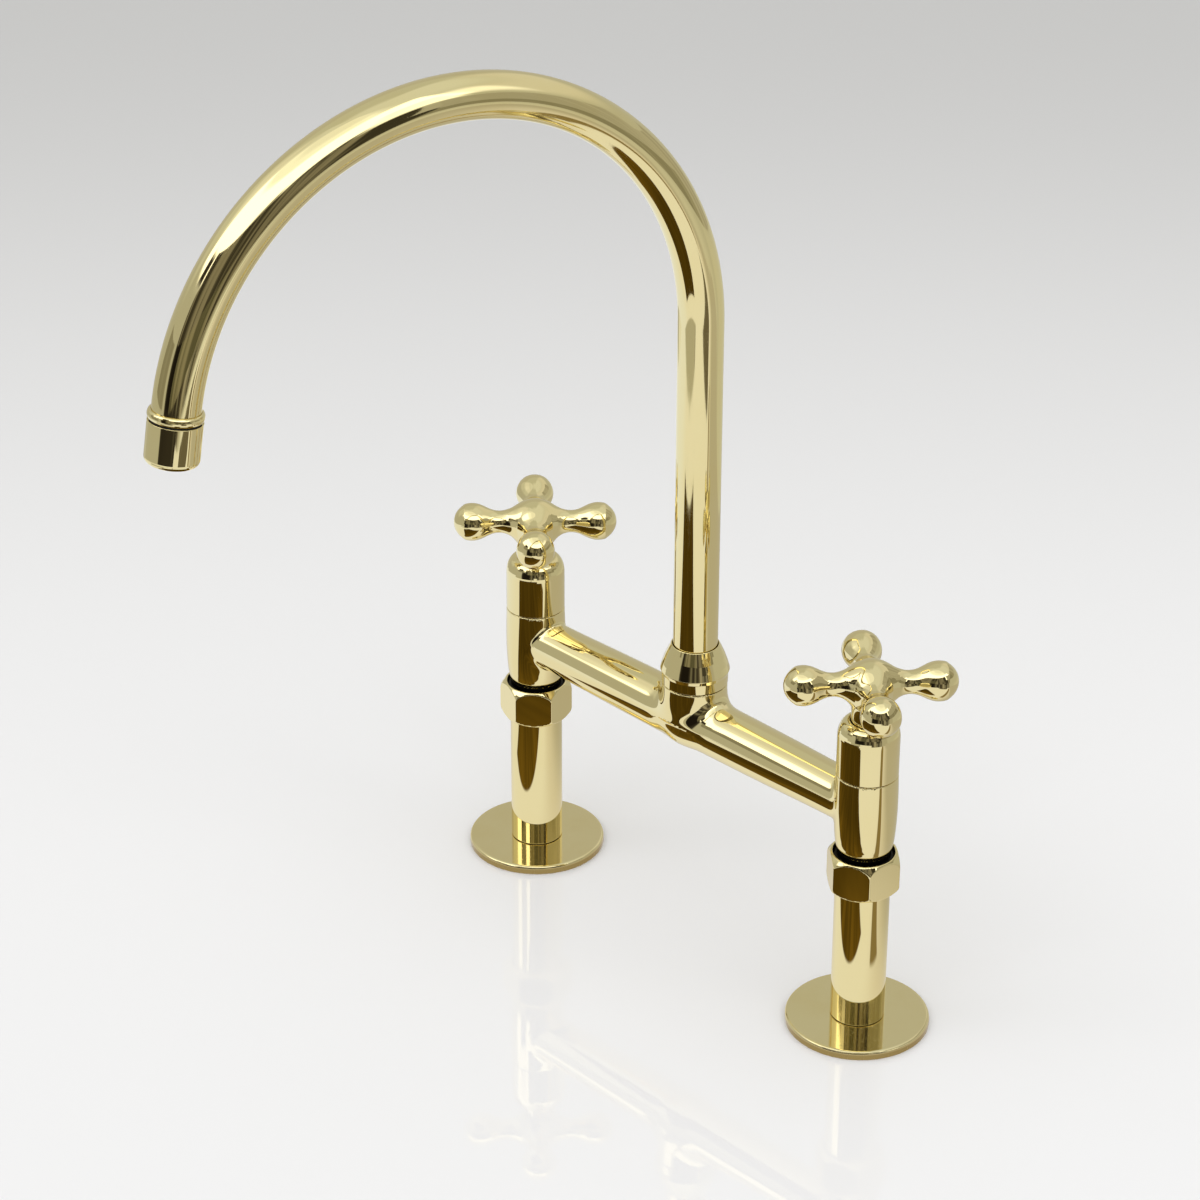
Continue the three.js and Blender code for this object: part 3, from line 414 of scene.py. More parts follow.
class Value:
    """A number in a node tree, which Python's operators combine through Math nodes."""

    def __init__(self, shader: "Shader", socket: bpy.types.NodeSocket) -> None:
        """Wraps an output socket of the shader."""
        self.shader = shader
        self.socket = socket

    def math(self, operation: str, first: Number, second: Number = 0.0) -> "Value":
        """Adds one Math node.

        Args:
            operation: the node's operation.
            first: its first input.
            second: its second input.

        Returns:
            The node's result.
        """
        node = self.shader.node("ShaderNodeMath", {"operation": operation}, {0: first, 1: second})
        return Value(self.shader, node.outputs[0])

    def __add__(self, other: Number) -> "Value":
        """self + other."""
        return self.math("ADD", self, other)

    __radd__ = __add__

    def __sub__(self, other: Number) -> "Value":
        """self - other."""
        return self.math("SUBTRACT", self, other)

    def __rsub__(self, other: Number) -> "Value":
        """other - self."""
        return self.math("SUBTRACT", other, self)

    def __mul__(self, other: Number) -> "Value":
        """self * other."""
        return self.math("MULTIPLY", self, other)

    __rmul__ = __mul__

    def __truediv__(self, other: Number) -> "Value":
        """self / other."""
        return self.math("DIVIDE", self, other)

    def __rtruediv__(self, other: Number) -> "Value":
        """other / self."""
        return self.math("DIVIDE", other, self)

    def __neg__(self) -> "Value":
        """-self."""
        return self.math("MULTIPLY", self, -1.0)

    def step(self, low: float, high: float) -> "Value":
        """Rises smoothly from 0 at low to 1 at high, or falls where low is above high.

        Args:
            low: where the result is 0.
            high: where the result is 1.

        Returns:
            The smooth step.
        """
        settings = {"interpolation_type": "SMOOTHSTEP"}
        sockets = {0: self, 1: min(low, high), 2: max(low, high)}
        rising = Value(self.shader, self.shader.node("ShaderNodeMapRange", settings, sockets).outputs[0])
        return rising if low < high else 1.0 - rising

    def window(self, low: float, high: float, soft: float) -> "Value":
        """Is 1 between low and high, with soft edges as wide as soft."""
        edge = soft / 2
        return self.step(low - edge, low + edge) * self.step(high + edge, high - edge)


Input = Union[float, tuple, Value, bpy.types.NodeSocket]
Surface = tuple[Input, Input, Input]


class Shader:
    """Builds one node tree."""

    octave_share = 0.55

    def __init__(self, tree: bpy.types.NodeTree) -> None:
        """Empties the tree and keeps it."""
        tree.nodes.clear()
        self.tree = tree

    def node(
        self, kind: str, settings: dict[str, str], sockets: dict[Union[int, str], Input],
    ) -> bpy.types.Node:
        """Adds a node.

        Args:
            kind: the node's type.
            settings: its own properties.
            sockets: values or links of its inputs, by number or name.

        Returns:
            The node.
        """
        node = self.tree.nodes.new(kind)
        for key, value in settings.items():
            setattr(node, key, value)
        for key, value in sockets.items():
            if isinstance(value, Value):
                value = value.socket
            if isinstance(value, bpy.types.NodeSocket):
                self.tree.links.new(value, node.inputs[key])
            else:
                node.inputs[key].default_value = value
        return node

    def show(self, kind: str, sockets: dict[str, Input], output: str = "Material") -> None:
        """Adds the node that shades a surface or a world, and sends it to the tree's output."""
        shading = self.node(kind, {}, sockets)
        self.node(f"ShaderNodeOutput{output}", {}, {"Surface": shading.outputs[0]})

    def coordinates(self, kind: str = "Object") -> list[Value]:
        """Gives the place that is shaded.

        Args:
            kind: Object, or Generated for a world's directions.

        Returns:
            Its x, y and z, in metres for an object.
        """
        where = self.node("ShaderNodeTexCoord", {}, {})
        apart = self.node("ShaderNodeSeparateXYZ", {}, {0: where.outputs[kind]})
        return [Value(self, output) for output in apart.outputs]

    def noise(self, scale: float, detail: float, stretch: tuple = (1.0, 1.0, 1.0)) -> Value:
        """Noise on the object's own coordinates.

        Args:
            scale: how many features to a metre.
            detail: how many octaves.
            stretch: extra scale along each axis.

        Returns:
            The noise, from 0 to 1.
        """
        where = self.node("ShaderNodeTexCoord", {}, {}).outputs["Object"]
        mapped = self.node("ShaderNodeMapping", {}, {"Vector": where, "Scale": stretch}).outputs[0]
        sockets = {"Vector": mapped, "Scale": scale, "Detail": detail, "Roughness": self.octave_share}
        return Value(self, self.node("ShaderNodeTexNoise", {"noise_dimensions": "3D"}, sockets).outputs[0])

    def mix(self, share: Number, first: Input, second: Input) -> bpy.types.NodeSocket:
        """Mixes two colours; a Mix node takes them at its inputs 6 and 7, and gives output 2.

        Args:
            share: how much of the second.
            first: the first colour.
            second: the second colour.

        Returns:
            The mixed colour.
        """
        first, second = ((*c, 1.0) if isinstance(c, tuple) else c for c in (first, second))
        node = self.node("ShaderNodeMix", {"data_type": "RGBA"}, {0: share, 6: first, 7: second})
        return node.outputs[2]

    def bump(self, height: Value, strength: float, depth: float) -> bpy.types.NodeSocket:
        """A normal from a height, with the depth in millimetres."""
        sockets = {"Strength": strength, "Distance": depth * MM, "Height": height}
        return self.node("ShaderNodeBump", {}, sockets).outputs[0]


# ------------------------------------------------------------------------------------------ finishes
@dataclass(frozen=True)
class Finish:
    """What every finish has: a name, the record's slot and the numbers of its surface."""

    name: str
    slot: str
    colour: Colour
    shade: Colour
    roughness: float
    metallic: float = 0.0

    def material(self) -> bpy.types.Material:
        """Makes the finish's material, or finds it where it is made already.

        Returns:
            The material.
        """
        made = bpy.data.materials.get(self.name)
        if made is None:
            made = bpy.data.materials.new(self.name)
            made.use_nodes = True
            shader = Shader(made.node_tree)
            colour, roughness, normal = self.surface(shader)
            sockets = {"Base Color": colour, "Roughness": roughness, "Normal": normal}
            shader.show("ShaderNodeBsdfPrincipled", {"Metallic": self.metallic, **sockets})
        return made

    def surface(self, shader: Shader) -> Surface:
        """Gives the colour, roughness and normal; each finish has its own."""
        raise NotImplementedError

    def dress(self, piece: bpy.types.Object) -> None:
        """Gives a new piece this finish.

        Args:
            piece: the new piece.
        """
        piece.data.materials.clear()
        piece.data.materials.append(self.material())

    def dress_node(self, node: str) -> None:
        """Gives a CAD node that stays in view this finish."""
        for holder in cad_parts[node].material_slots:
            holder.material = self.material()


@dataclass(frozen=True)
class PolishedBrass(Finish):
    """Unlacquered brass polished to a mirror, with faint mottling, smudges and hairlines.

    Below a given height, in millimetres, it can carry painted shade with a soft edge: a darker colour that
    stands in for shade, with more roughness.
    """

    mottling: float = 0.5
    smudged: float = 0.02
    hairlines: float = 0.02
    # Painted shade below a height: where it starts, its colour, the softness of its edge and the roughness
    # it adds.
    painted_shade_below: float = -1.0
    painted_shade: Colour = (0.012, 0.011, 0.01)
    painted_shade_edge: float = 0.2
    painted_shade_roughness: float = 0.4

    def surface(self, shader: Shader) -> Surface:
        """Works out polished brass.

        Args:
            shader: the material's shader.

        Returns:
            The colour, roughness and normal.
        """
        patches = shader.noise(scale=38.0, detail=4.0).step(0.42, 0.72)
        smudges = shader.noise(scale=140.0, detail=5.0).step(0.52, 0.74)
        lines = shader.noise(scale=900.0, detail=2.0, stretch=(1.0, 1.0, 0.08)).step(0.55, 0.7)
        colour = shader.mix(patches * self.mottling, self.colour, self.shade)
        rough = self.roughness + smudges * self.smudged + lines * self.hairlines
        # Painted shade: below the height the colour turns to a darker one that stands in for shade, and the
        # surface grows rougher.
        if self.painted_shade_below > 0:
            height = shader.coordinates()[2] / MM
            painted_shade = height.step(self.painted_shade_below + self.painted_shade_edge, self.painted_shade_below - self.painted_shade_edge)
            colour = shader.mix(painted_shade, colour, self.painted_shade)
            rough = rough + painted_shade * self.painted_shade_roughness
        waves = shader.noise(scale=24.0, detail=1.0)
        return colour, rough, shader.bump(waves, strength=0.05, depth=0.4)


@dataclass(frozen=True)
class PlainSteel(Finish):
    """Rolled stainless steel with a fine grain."""

    def surface(self, shader: Shader) -> Surface:
        """Works out rolled steel.

        Args:
            shader: the material's shader.

        Returns:
            The colour, roughness and normal.
        """
        grain = shader.noise(scale=1600.0, detail=2.0, stretch=(1.0, 0.05, 1.0))
        cloud = shader.noise(scale=90.0, detail=3.0)
        colour = shader.mix(cloud.step(0.3, 0.8), self.colour, self.shade)
        return colour, self.roughness + grain * 0.14, shader.bump(grain, strength=0.15, depth=0.1)


@dataclass(frozen=True)
class MouldedRubber(Finish):
    """Matt black rubber with a fine pebble and a little dust."""

    def surface(self, shader: Shader) -> Surface:
        """Works out moulded rubber.

        Args:
            shader: the material's shader.

        Returns:
            The colour, roughness and normal.
        """
        pebble = shader.noise(scale=1100.0, detail=3.0)
        dust = shader.noise(scale=120.0, detail=4.0).step(0.5, 0.8)
        colour = shader.mix(dust * 0.6, self.colour, self.shade)
        return colour, self.roughness + dust * 0.12, shader.bump(pebble, strength=0.3, depth=0.1)


@dataclass(frozen=True)
class MouldedNylon(Finish):
    """Off-white nylon, slightly mottled."""

    def surface(self, shader: Shader) -> Surface:
        """Works out moulded nylon.

        Args:
            shader: the material's shader.

        Returns:
            The colour, roughness and normal.
        """
        flow = shader.noise(scale=260.0, detail=4.0)
        colour = shader.mix(flow.step(0.35, 0.75), self.colour, self.shade)
        return colour, self.roughness + flow * 0.1, shader.bump(flow, strength=0.1, depth=0.1)


@dataclass(frozen=True)
class LappedCeramic(Finish):
    """Sintered alumina with faint grey specks."""

    def surface(self, shader: Shader) -> Surface:
        """Works out lapped ceramic.

        Args:
            shader: the material's shader.

        Returns:
            The colour, roughness and normal.
        """
        specks = shader.noise(scale=2400.0, detail=2.0).step(0.66, 0.74)
        colour = shader.mix(specks * 0.5, self.colour, self.shade)
        return colour, self.roughness + specks * 0.2, shader.bump(specks, strength=0.05, depth=0.1)


BRASS = PolishedBrass(
    name="polished_brass", slot="brass", colour=(0.88, 0.765, 0.425), shade=(0.87, 0.74, 0.385),
    roughness=0.03, metallic=1.0,
)
# Painted shade: below 87 mm the casting is nearly black, standing in for the shade in the gap where the
# barrel runs into the union nut's bore.
CAST_BRASS = replace(BRASS, name="polished_casting", painted_shade_below=87.0)
TUBE_BRASS = replace(BRASS, name="polished_tube", roughness=0.05, hairlines=0.03)
# Painted shade: below 3 mm the flange's rim and side wall are painted dull brown for their duller
# reflection; the stronger mottling and hairlines are wear.
WORN_AND_RIM_SHADED_BRASS = replace(
    BRASS, name="worn_flange_painted_rim_shade", colour=(0.87, 0.76, 0.44), shade=(0.85, 0.73, 0.4), roughness=0.075,
    mottling=0.9, hairlines=0.11, painted_shade_below=3.0, painted_shade=(0.36, 0.26, 0.1), painted_shade_edge=0.7,
    painted_shade_roughness=0.12,
)
ROUGH_BRASS = replace(
    BRASS, name="turned_brass", colour=(0.84, 0.68, 0.33), shade=(0.72, 0.54, 0.24), roughness=0.16,
    mottling=0.8, hairlines=0.12,
)
STEEL = PlainSteel(
    name="plain_steel", slot="steel", colour=(0.62, 0.62, 0.6), shade=(0.5, 0.5, 0.49),
    roughness=0.28, metallic=1.0,
)
RUBBER = MouldedRubber(
    name="black_rubber", slot="rubber", colour=(0.012, 0.012, 0.012), shade=(0.04, 0.038, 0.035),
    roughness=0.62,
)
NYLON = MouldedNylon(
    name="white_nylon", slot="nylon", colour=(0.76, 0.75, 0.7), shade=(0.68, 0.67, 0.62),
    roughness=0.42,
)
CERAMIC = LappedCeramic(
    name="white_ceramic", slot="ceramic", colour=(0.85, 0.83, 0.77), shade=(0.4, 0.4, 0.4),
    roughness=0.22,
)


# --------------------------------------------------------------------------- sides, bodies and boxes
def box_mm(node: str) -> tuple[Array, Array]:
    """The lowest and highest corners of a CAD node, in millimetres."""
    low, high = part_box(node)
    return np.array(low) / MM, np.array(high) / MM


def heights(node: str) -> tuple[float, float]:
    """The lowest and highest points of a CAD node, in millimetres."""
    low, high = box_mm(node)
    return float(low[2]), float(high[2])


class Body(Enum):
    """The moving bodies of the frame."""

    FIXED = "body"
    HOT = "hot_valve"
    COLD = "cold_valve"
    SPOUT = "spout"


class Assembly:
    """A sub-assembly: it finishes its pieces, and lists what it made."""

    def finish(self, piece: bpy.types.Object, finish: Finish, body: Body, node: str) -> None:
        """Dresses a piece, sets it on its body and lets it stand for its CAD node.

        Args:
            piece: the new piece.
            finish: what it is made of.
            body: the body that carries it.
            node: the CAD node that it replaces.
        """
        finish.dress(piece)
        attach(piece, body.value)
        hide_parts(node)
        log.info("%s: %d faces, replaces %s", piece.name, len(piece.data.polygons), node)

    def keep(self, nodes: Sequence[str], finish: Finish) -> None:
        """Keeps CAD nodes as they are and gives them a finish.

        Args:
            nodes: the nodes' names.
            finish: what they are made of.
        """
        for node in nodes:
            finish.dress_node(node)
        log.info("kept %s in %s", ", ".join(nodes), finish.name)


class Side(Enum):
    """The two sides of the faucet."""

    HOT = "hot"
    COLD = "cold"

    @property
    def body(self) -> Body:
        """The body that turns with this side's handle."""
        return Body.HOT if self is Side.HOT else Body.COLD

    @property
    def axis(self) -> float:
        """Where this side's axis stands along the bridge."""
        low, high = box_mm(f"{self.value}_leg")
        return float(low[0] + high[0]) / 2


# ------------------------------------------------------------------------------------- leg and flange
@dataclass
class Leg(Assembly):
    """One leg with its flange, union nut and the fastenings below the worktop.

    The union nut's flank is a table of heights and radii, the foot's counted up from its lower
    face and the head's down from its upper one.
    """

    side: Side
    nut_turn: float
    flange_radius: float = 31.2
    flange_rim: float = 1.5
    gasket_recess: float = 22.0
    leg_radius: float = 11.8
    collar_radius: float = 12.9
    collar_height: float = 3.0
    bore: float = 6.5
    shank_radius: float = 10.3
    shank_lead_in: float = 1.3
    shank_plain: float = -0.6
    shank_hole: float = 10.6
    thread_pitch: float = 1.814
    thread_depth: float = 0.55
    thread_margin: float = 1.0
    thread_start: float = 1.2
    thread_top: float = -2.0
    thread_step: float = 0.3
    thread_fades: tuple[float, float] = (2.0, 3.0)
    nut_flats: float = 28.6
    nut_foot: Profile = ((0.0, 12.6), (0.7, 13.6), (1.7, 14.9), (2.6, 15.9), (3.8, 16.45))
    nut_head: Profile = ((-4.2, 16.45), (-2.6, 15.9), (0.0, 13.9))
    nut_reach: float = 17.0
    nut_cell: float = 0.55
    locknut_flats: float = 32.0
    locknut_corner: float = 17.6
    locknut_chamfer: float = 0.6
    locknut_slope: float = 0.9
    locknut_reach: float = 19.0
    locknut_cell: float = 0.65
    union_play: float = 0.5

    def __post_init__(self) -> None:
        """Finds the leg's axis."""
        self.label = self.side.value
        self.place = Placement(origin=(self.side.axis, 0.0, 0.0))

    def build(self) -> None:
        """Makes every piece of the leg."""
        self.flange()
        self.leg()
        self.union_nut()
        self.locknut()
        self.washers()

    def flange(self) -> None:
        """A flat disc with a softly rounded rim and a recess below for its gasket."""
        low, high = heights(f"{self.label}_flange")
        recess = heights(f"{self.label}_flange_gasket")[1] + GAP
        corners = [
            (self.shank_hole, recess, CRISP),
            (self.gasket_recess, recess, CRISP),
            (self.gasket_recess, low, CRISP),
            (self.flange_radius, low, SOFT),
            (self.flange_radius, high, self.flange_rim),
            (self.shank_hole, high, BROKEN),
        ]
        piece = lathe(f"{self.label}_deck_flange", corners, self.place, sides=160)
        # The finish paints shade on the rim's side wall, below 3 mm.
        self.finish(piece, WORN_AND_RIM_SHADED_BRASS, Body.FIXED, f"{self.label}_flange")

    def leg(self) -> None:
        """A plain tube above the flange, with a threaded shank below it.

        The thread adds depth * (triangle wave of height/pitch + angle/turn) to the radius, fading
        out at both ends.
        """
        low, high = heights(f"{self.label}_leg")
        foot = heights(f"{self.label}_flange")[1] + GAP
        count = int((self.thread_top - low) / self.thread_step)
        run = np.linspace(low + self.thread_start, self.thread_top, count)
        thread = [(self.shank_radius - self.thread_depth / 2, float(z), 0.0) for z in run]
        shoulder = high - self.collar_height
        corners = [
            (self.bore, low, SOFT),
            (self.shank_radius - self.shank_lead_in, low, BROKEN),
            *thread,
            (self.shank_radius, self.shank_plain, CRISP),
            (self.shank_radius, foot, FINE),
            (self.leg_radius, foot, 0.35),
            (self.leg_radius, shoulder, CRISP),
            (self.collar_radius, shoulder, CRISP),
            (self.collar_radius, high, BROKEN),
            (self.bore, high, BROKEN),
        ]
        lead, runout = self.thread_fades

        def wave(angle: Array, points: Array) -> Array:
            """Works out the thread.

            Args:
                angle: angles round the shank, in one row.
                points: radius and height of each point of the outline.

            Returns:
                How far each point is moved out.
            """
            height = points[:, 1:]
            ridge = triangle(height / self.thread_pitch - angle / (2 * math.pi)) * 2
            outside = points[:, :1] > (self.bore + self.shank_radius) / 2
            fade = np.clip((height - low - self.thread_margin) / lead, 0, 1)
            fade = fade * np.clip((self.thread_top - height) / runout, 0, 1)
            return np.where(outside, (ridge - 0.5) * self.thread_depth * fade, 0.0)

        piece = lathe(f"{self.label}_standpipe", corners, self.place, sides=96, steps=3, shape=wave)
        self.finish(piece, BRASS, Body.FIXED, f"{self.label}_leg")

    def hexagon(self, points: Array, flats: float) -> Array:
        """Distance to a hexagon's nearest flat, with the first flat along X.

        Args:
            points: places, in millimetres.
            flats: size across the flats.

        Returns:
            The signed distance at each place.
        """
        apothem = np.stack([
            np.abs(points[..., 0] * math.cos(t) + points[..., 1] * math.sin(t))
            for t in (0.0, math.pi / 3, 2 * math.pi / 3)
        ])
        return apothem.max(axis=0) - flats / 2

    def union_nut(self) -> None:
        """A hexagon whose corners are turned to a cylinder, chamfered above and bulging in below."""
        low, high = heights(f"{self.label}_union_nut")
        shelf = heights(f"{self.label}_leg")[1] - self.collar_height - GAP
        bore, hole = self.collar_radius + GAP, self.leg_radius + GAP
        flank = profile(low, self.nut_foot, high, self.nut_head)

        def surface(points: Array) -> Array:
            """The nut's signed distance.

            Args:
                points: places, in millimetres.

            Returns:
                The signed distance at each place.
            """
            radius, height = about_z(points)
            outside = cut(self.hexagon(points, self.nut_flats), tapered(radius, height, flank), FINE_EDGE)
            outside = cut(outside, between(height, low, high), SOFT_EDGE)
            hollow = np.minimum(radius - hole, np.maximum(radius - bore, shelf - height))
            return cut(outside, -hollow, EDGE)

        reach = self.nut_reach
        box = (-reach, -reach, low), (reach, reach, high)
        place = Placement(origin=self.place.origin, about_z=self.nut_turn)
        piece = implicit(f"{self.label}_hex_union", surface, *box, self.nut_cell, place)
        self.finish(piece, BRASS, Body.FIXED, f"{self.label}_union_nut")

    def locknut(self) -> None:
        """A plain hexagon nut chamfered on both faces.

        The chamfer is a cone: its distance is (radius - corner + slope * depth into the chamfer)
        times the cosine of the slope.
        """
        low, high = heights(f"{self.label}_locknut")
        depth = self.locknut_chamfer
        cosine = 0.75

        def surface(points: Array) -> Array:
            """The nut's signed distance.

            Args:
                points: places, in millimetres.

            Returns:
                The signed distance at each place.
            """
            radius, height = about_z(points)
            rise = np.maximum(low + depth - height, height - high + depth) * self.locknut_slope
            chamfer = (radius - self.locknut_corner + rise) * cosine
            outside = cut(self.hexagon(points, self.locknut_flats), between(height, low, high), EDGE)
            return cut(cut(outside, chamfer, SOFT_EDGE), self.shank_hole - radius, EDGE)

        reach = self.locknut_reach
        box = (-reach, -reach, low), (reach, reach, high)
        piece = implicit(f"{self.label}_hex_locknut", surface, *box, self.locknut_cell, self.place)
        self.finish(piece, ROUGH_BRASS, Body.FIXED, f"{self.label}_locknut")

    def washers(self) -> None:
        """The gasket, the two washers under the worktop and the one inside the union."""
        for node, inner, rounding, finish in (
            ("flange_gasket", self.shank_hole, 0.4, RUBBER),
            ("backing_washer", self.shank_hole, SOFT, RUBBER),
            ("clamp_washer", self.shank_hole, 0.35, STEEL),
            ("union_washer", self.bore + self.union_play, 0.4, RUBBER),
        ):
            low, high = box_mm(f"{self.label}_{node}")
            outer = float(high[1] - low[1]) / 2
            piece = ring(f"{self.label}_{node}_round", inner, outer, low[2], high[2], rounding, self.place)
            self.finish(piece, finish, Body.FIXED, f"{self.label}_{node}")


# ---------------------------------------------------------------------------------------- the bridge
@dataclass
class Bridge(Assembly):
    """The cast body: two barrels, two arms and the boss under the spout, in one smooth skin.

    The barrels and arms are tables of places and radii. A barrel's are counted up from its foot
    and down from its rim, and an arm's outwards from the middle and back from the barrel's axis.
    """

    axis_height: float = 26.1
    arm_middle: Profile = ((0.0, 12.0), (20.0, 11.9), (50.0, 11.55))
    arm_end: Profile = ((-22.0, 11.0), (0.0, 10.9))
    arm_fillet: float = 2.6
    barrel_start: float = 5.6
    barrel_foot: Profile = (
        (0.0, 11.1), (1.2, 11.75), (3.4, 12.3), (7.0, 12.75), (12.0, 13.1), (20.0, 13.38),
    )
    barrel_rim: Profile = ((-8.0, 13.36), (0.0, 13.15))
    groove_radius: float = 11.2
    thread_radius: float = 12.9
    thread_height: float = 2.7
    thread_pitch: float = 1.4
    thread_depth: float = 0.5
    boss: float = 14.2
    boss_above_axis: float = 18.9
    boss_foot: float = 4.0
    boss_thread: float = 12.1
    boss_thread_foot: float = 2.0
    bowl: float = 11.6
    bowl_radius: float = 13.2
    bowl_fillet: float = 5.0
    boss_fillet: float = 4.6
    boss_fillet_more: float = 4.2
    boss_fillet_below: float = 13.0
    boss_fillet_rise: float = 18.0
    bore: float = 6.5
    cartridge_bore: float = 10.4
    seat_below_axis: float = 10.7
    flange_bore: float = 11.6
    flange_depth: float = 2.7
    spigot_bore: float = 9.7
    search_beyond: float = 14.5
    search_half: float = 15.5
    cell: float = 0.8

    def __post_init__(self) -> None:
        """Finds the arms' axis and the barrels' heights."""
        low, high = box_mm("bridge_body")
        self.bottom, self.top = float(low[2]), float(high[2])
        self.half = Side.COLD.axis
        self.axis = self.bottom + self.axis_height
        self.rim = heights("hot_bonnet")[0] - GAP
        self.boss_top = self.axis + self.boss_above_axis

    def barrel(self, points: Array) -> Array:
        """Distance to the nearer barrel, with its thread and groove below.

        Args:
            points: places, in millimetres.

        Returns:
            The signed distance at each place.
        """
        x = np.abs(points[..., 0]) - self.half
        radius = np.hypot(x, points[..., 1])
        z = points[..., 2]
        start = self.bottom + self.barrel_start
        belly = profile(start, self.barrel_foot, self.rim, self.barrel_rim)
        body = cut(tapered(radius, z, belly), between(z, start, self.rim), EDGE)
        neck = np.maximum(radius - self.groove_radius, between(z, self.bottom, start + OVERLAP))
        turns = (z - self.bottom) / self.thread_pitch + np.arctan2(points[..., 1], x) / (2 * math.pi)
        ridge = triangle(turns) * self.thread_depth
        groove = self.bottom + self.thread_height
        thread = np.maximum(radius - self.thread_radius + ridge, between(z, self.bottom, groove))
        return np.minimum(body, np.minimum(neck, thread))

    def arms(self, points: Array) -> Array:
        """Distance to the arms, a little thicker at the middle than at the barrels.

        Args:
            points: places, in millimetres.

        Returns:
            The signed distance at each place.
        """
        x = np.abs(points[..., 0])
        radius = np.hypot(points[..., 1], points[..., 2] - self.axis)
        shape = tapered(radius, x, profile(0.0, self.arm_middle, self.half, self.arm_end))
        return np.maximum(shape, x - self.half)

    def boss_field(self, points: Array) -> Array:
        """Distance to the boss: a post under the spout nut, closed by a shallow bowl.

        Args:
            points: places, in millimetres.

        Returns:
            The signed distance at each place.
        """
        radius, z = about_z(points)
        post = np.maximum(radius - self.boss, between(z, self.axis + self.boss_foot, self.boss_top))
        squash = self.bowl / self.bowl_radius
        bowl = np.sqrt((radius * squash) ** 2 + (z - self.axis) ** 2) - self.bowl
        return blend(post, bowl, self.bowl_fillet)

    def outside(self, points: Array) -> Array:
        """Distance to the casting as if it were solid.

        The fillet round the boss widens with height: more * (3 h^2 - 2 h^3), with h from 0 to 1.

        Args:
            points: places, in millimetres.

        Returns:
            The signed distance at each place.
        """
        middle, z = about_z(points)
        body = blend(self.barrel(points), self.arms(points), self.arm_fillet)
        rise = np.clip((z - self.axis + self.boss_fillet_below) / self.boss_fillet_rise, 0, 1)
        fillet = self.boss_fillet + self.boss_fillet_more * rise**2 * (3 - 2 * rise)
        body = blend(body, self.boss_field(points), fillet)
        body = cut(body, z - self.boss_top, FINE_EDGE)
        foot = self.boss_top - self.boss_thread_foot
        return np.minimum(body, np.maximum(middle - self.boss_thread, between(z, foot, self.top)))

    def hollow(self, points: Array) -> Array:
        """Distance to the bores: both valves' seats and inlets, the waterway and the spigot's socket.

        Args:
            points: places, in millimetres.

        Returns:
            The signed distance at each place.
        """
        x, y, z = points[..., 0], points[..., 1], points[..., 2]
        side = np.abs(x) - self.half
        radius, middle = np.hypot(side, y), np.hypot(x, y)
        seat = self.axis - self.seat_below_axis
        return np.minimum.reduce([
            np.maximum(radius - self.cartridge_bore, seat - z),
            np.maximum(radius - self.flange_bore, self.rim - self.flange_depth - z),
            np.maximum(radius - self.bore, z - seat - OVERLAP),
            np.maximum(middle - self.spigot_bore, self.axis - z),
            np.maximum(np.hypot(y, z - self.axis) - self.bore, side),
        ])

    def surface(self, points: Array) -> Array:
        """The whole casting's signed distance, with its bores."""
        return cut(self.outside(points), -self.hollow(points), EDGE)

    def build(self) -> None:
        """Makes the casting."""
        reach = self.half + self.search_beyond
        low, high = (-reach, -self.search_half, self.bottom), (reach, self.search_half, self.top)
        piece = implicit("bridge_casting", self.surface, low, high, self.cell)
        # Its finish paints shade below the barrels' necks, where they run into the union nuts.
        self.finish(piece, CAST_BRASS, Body.FIXED, "bridge_body")


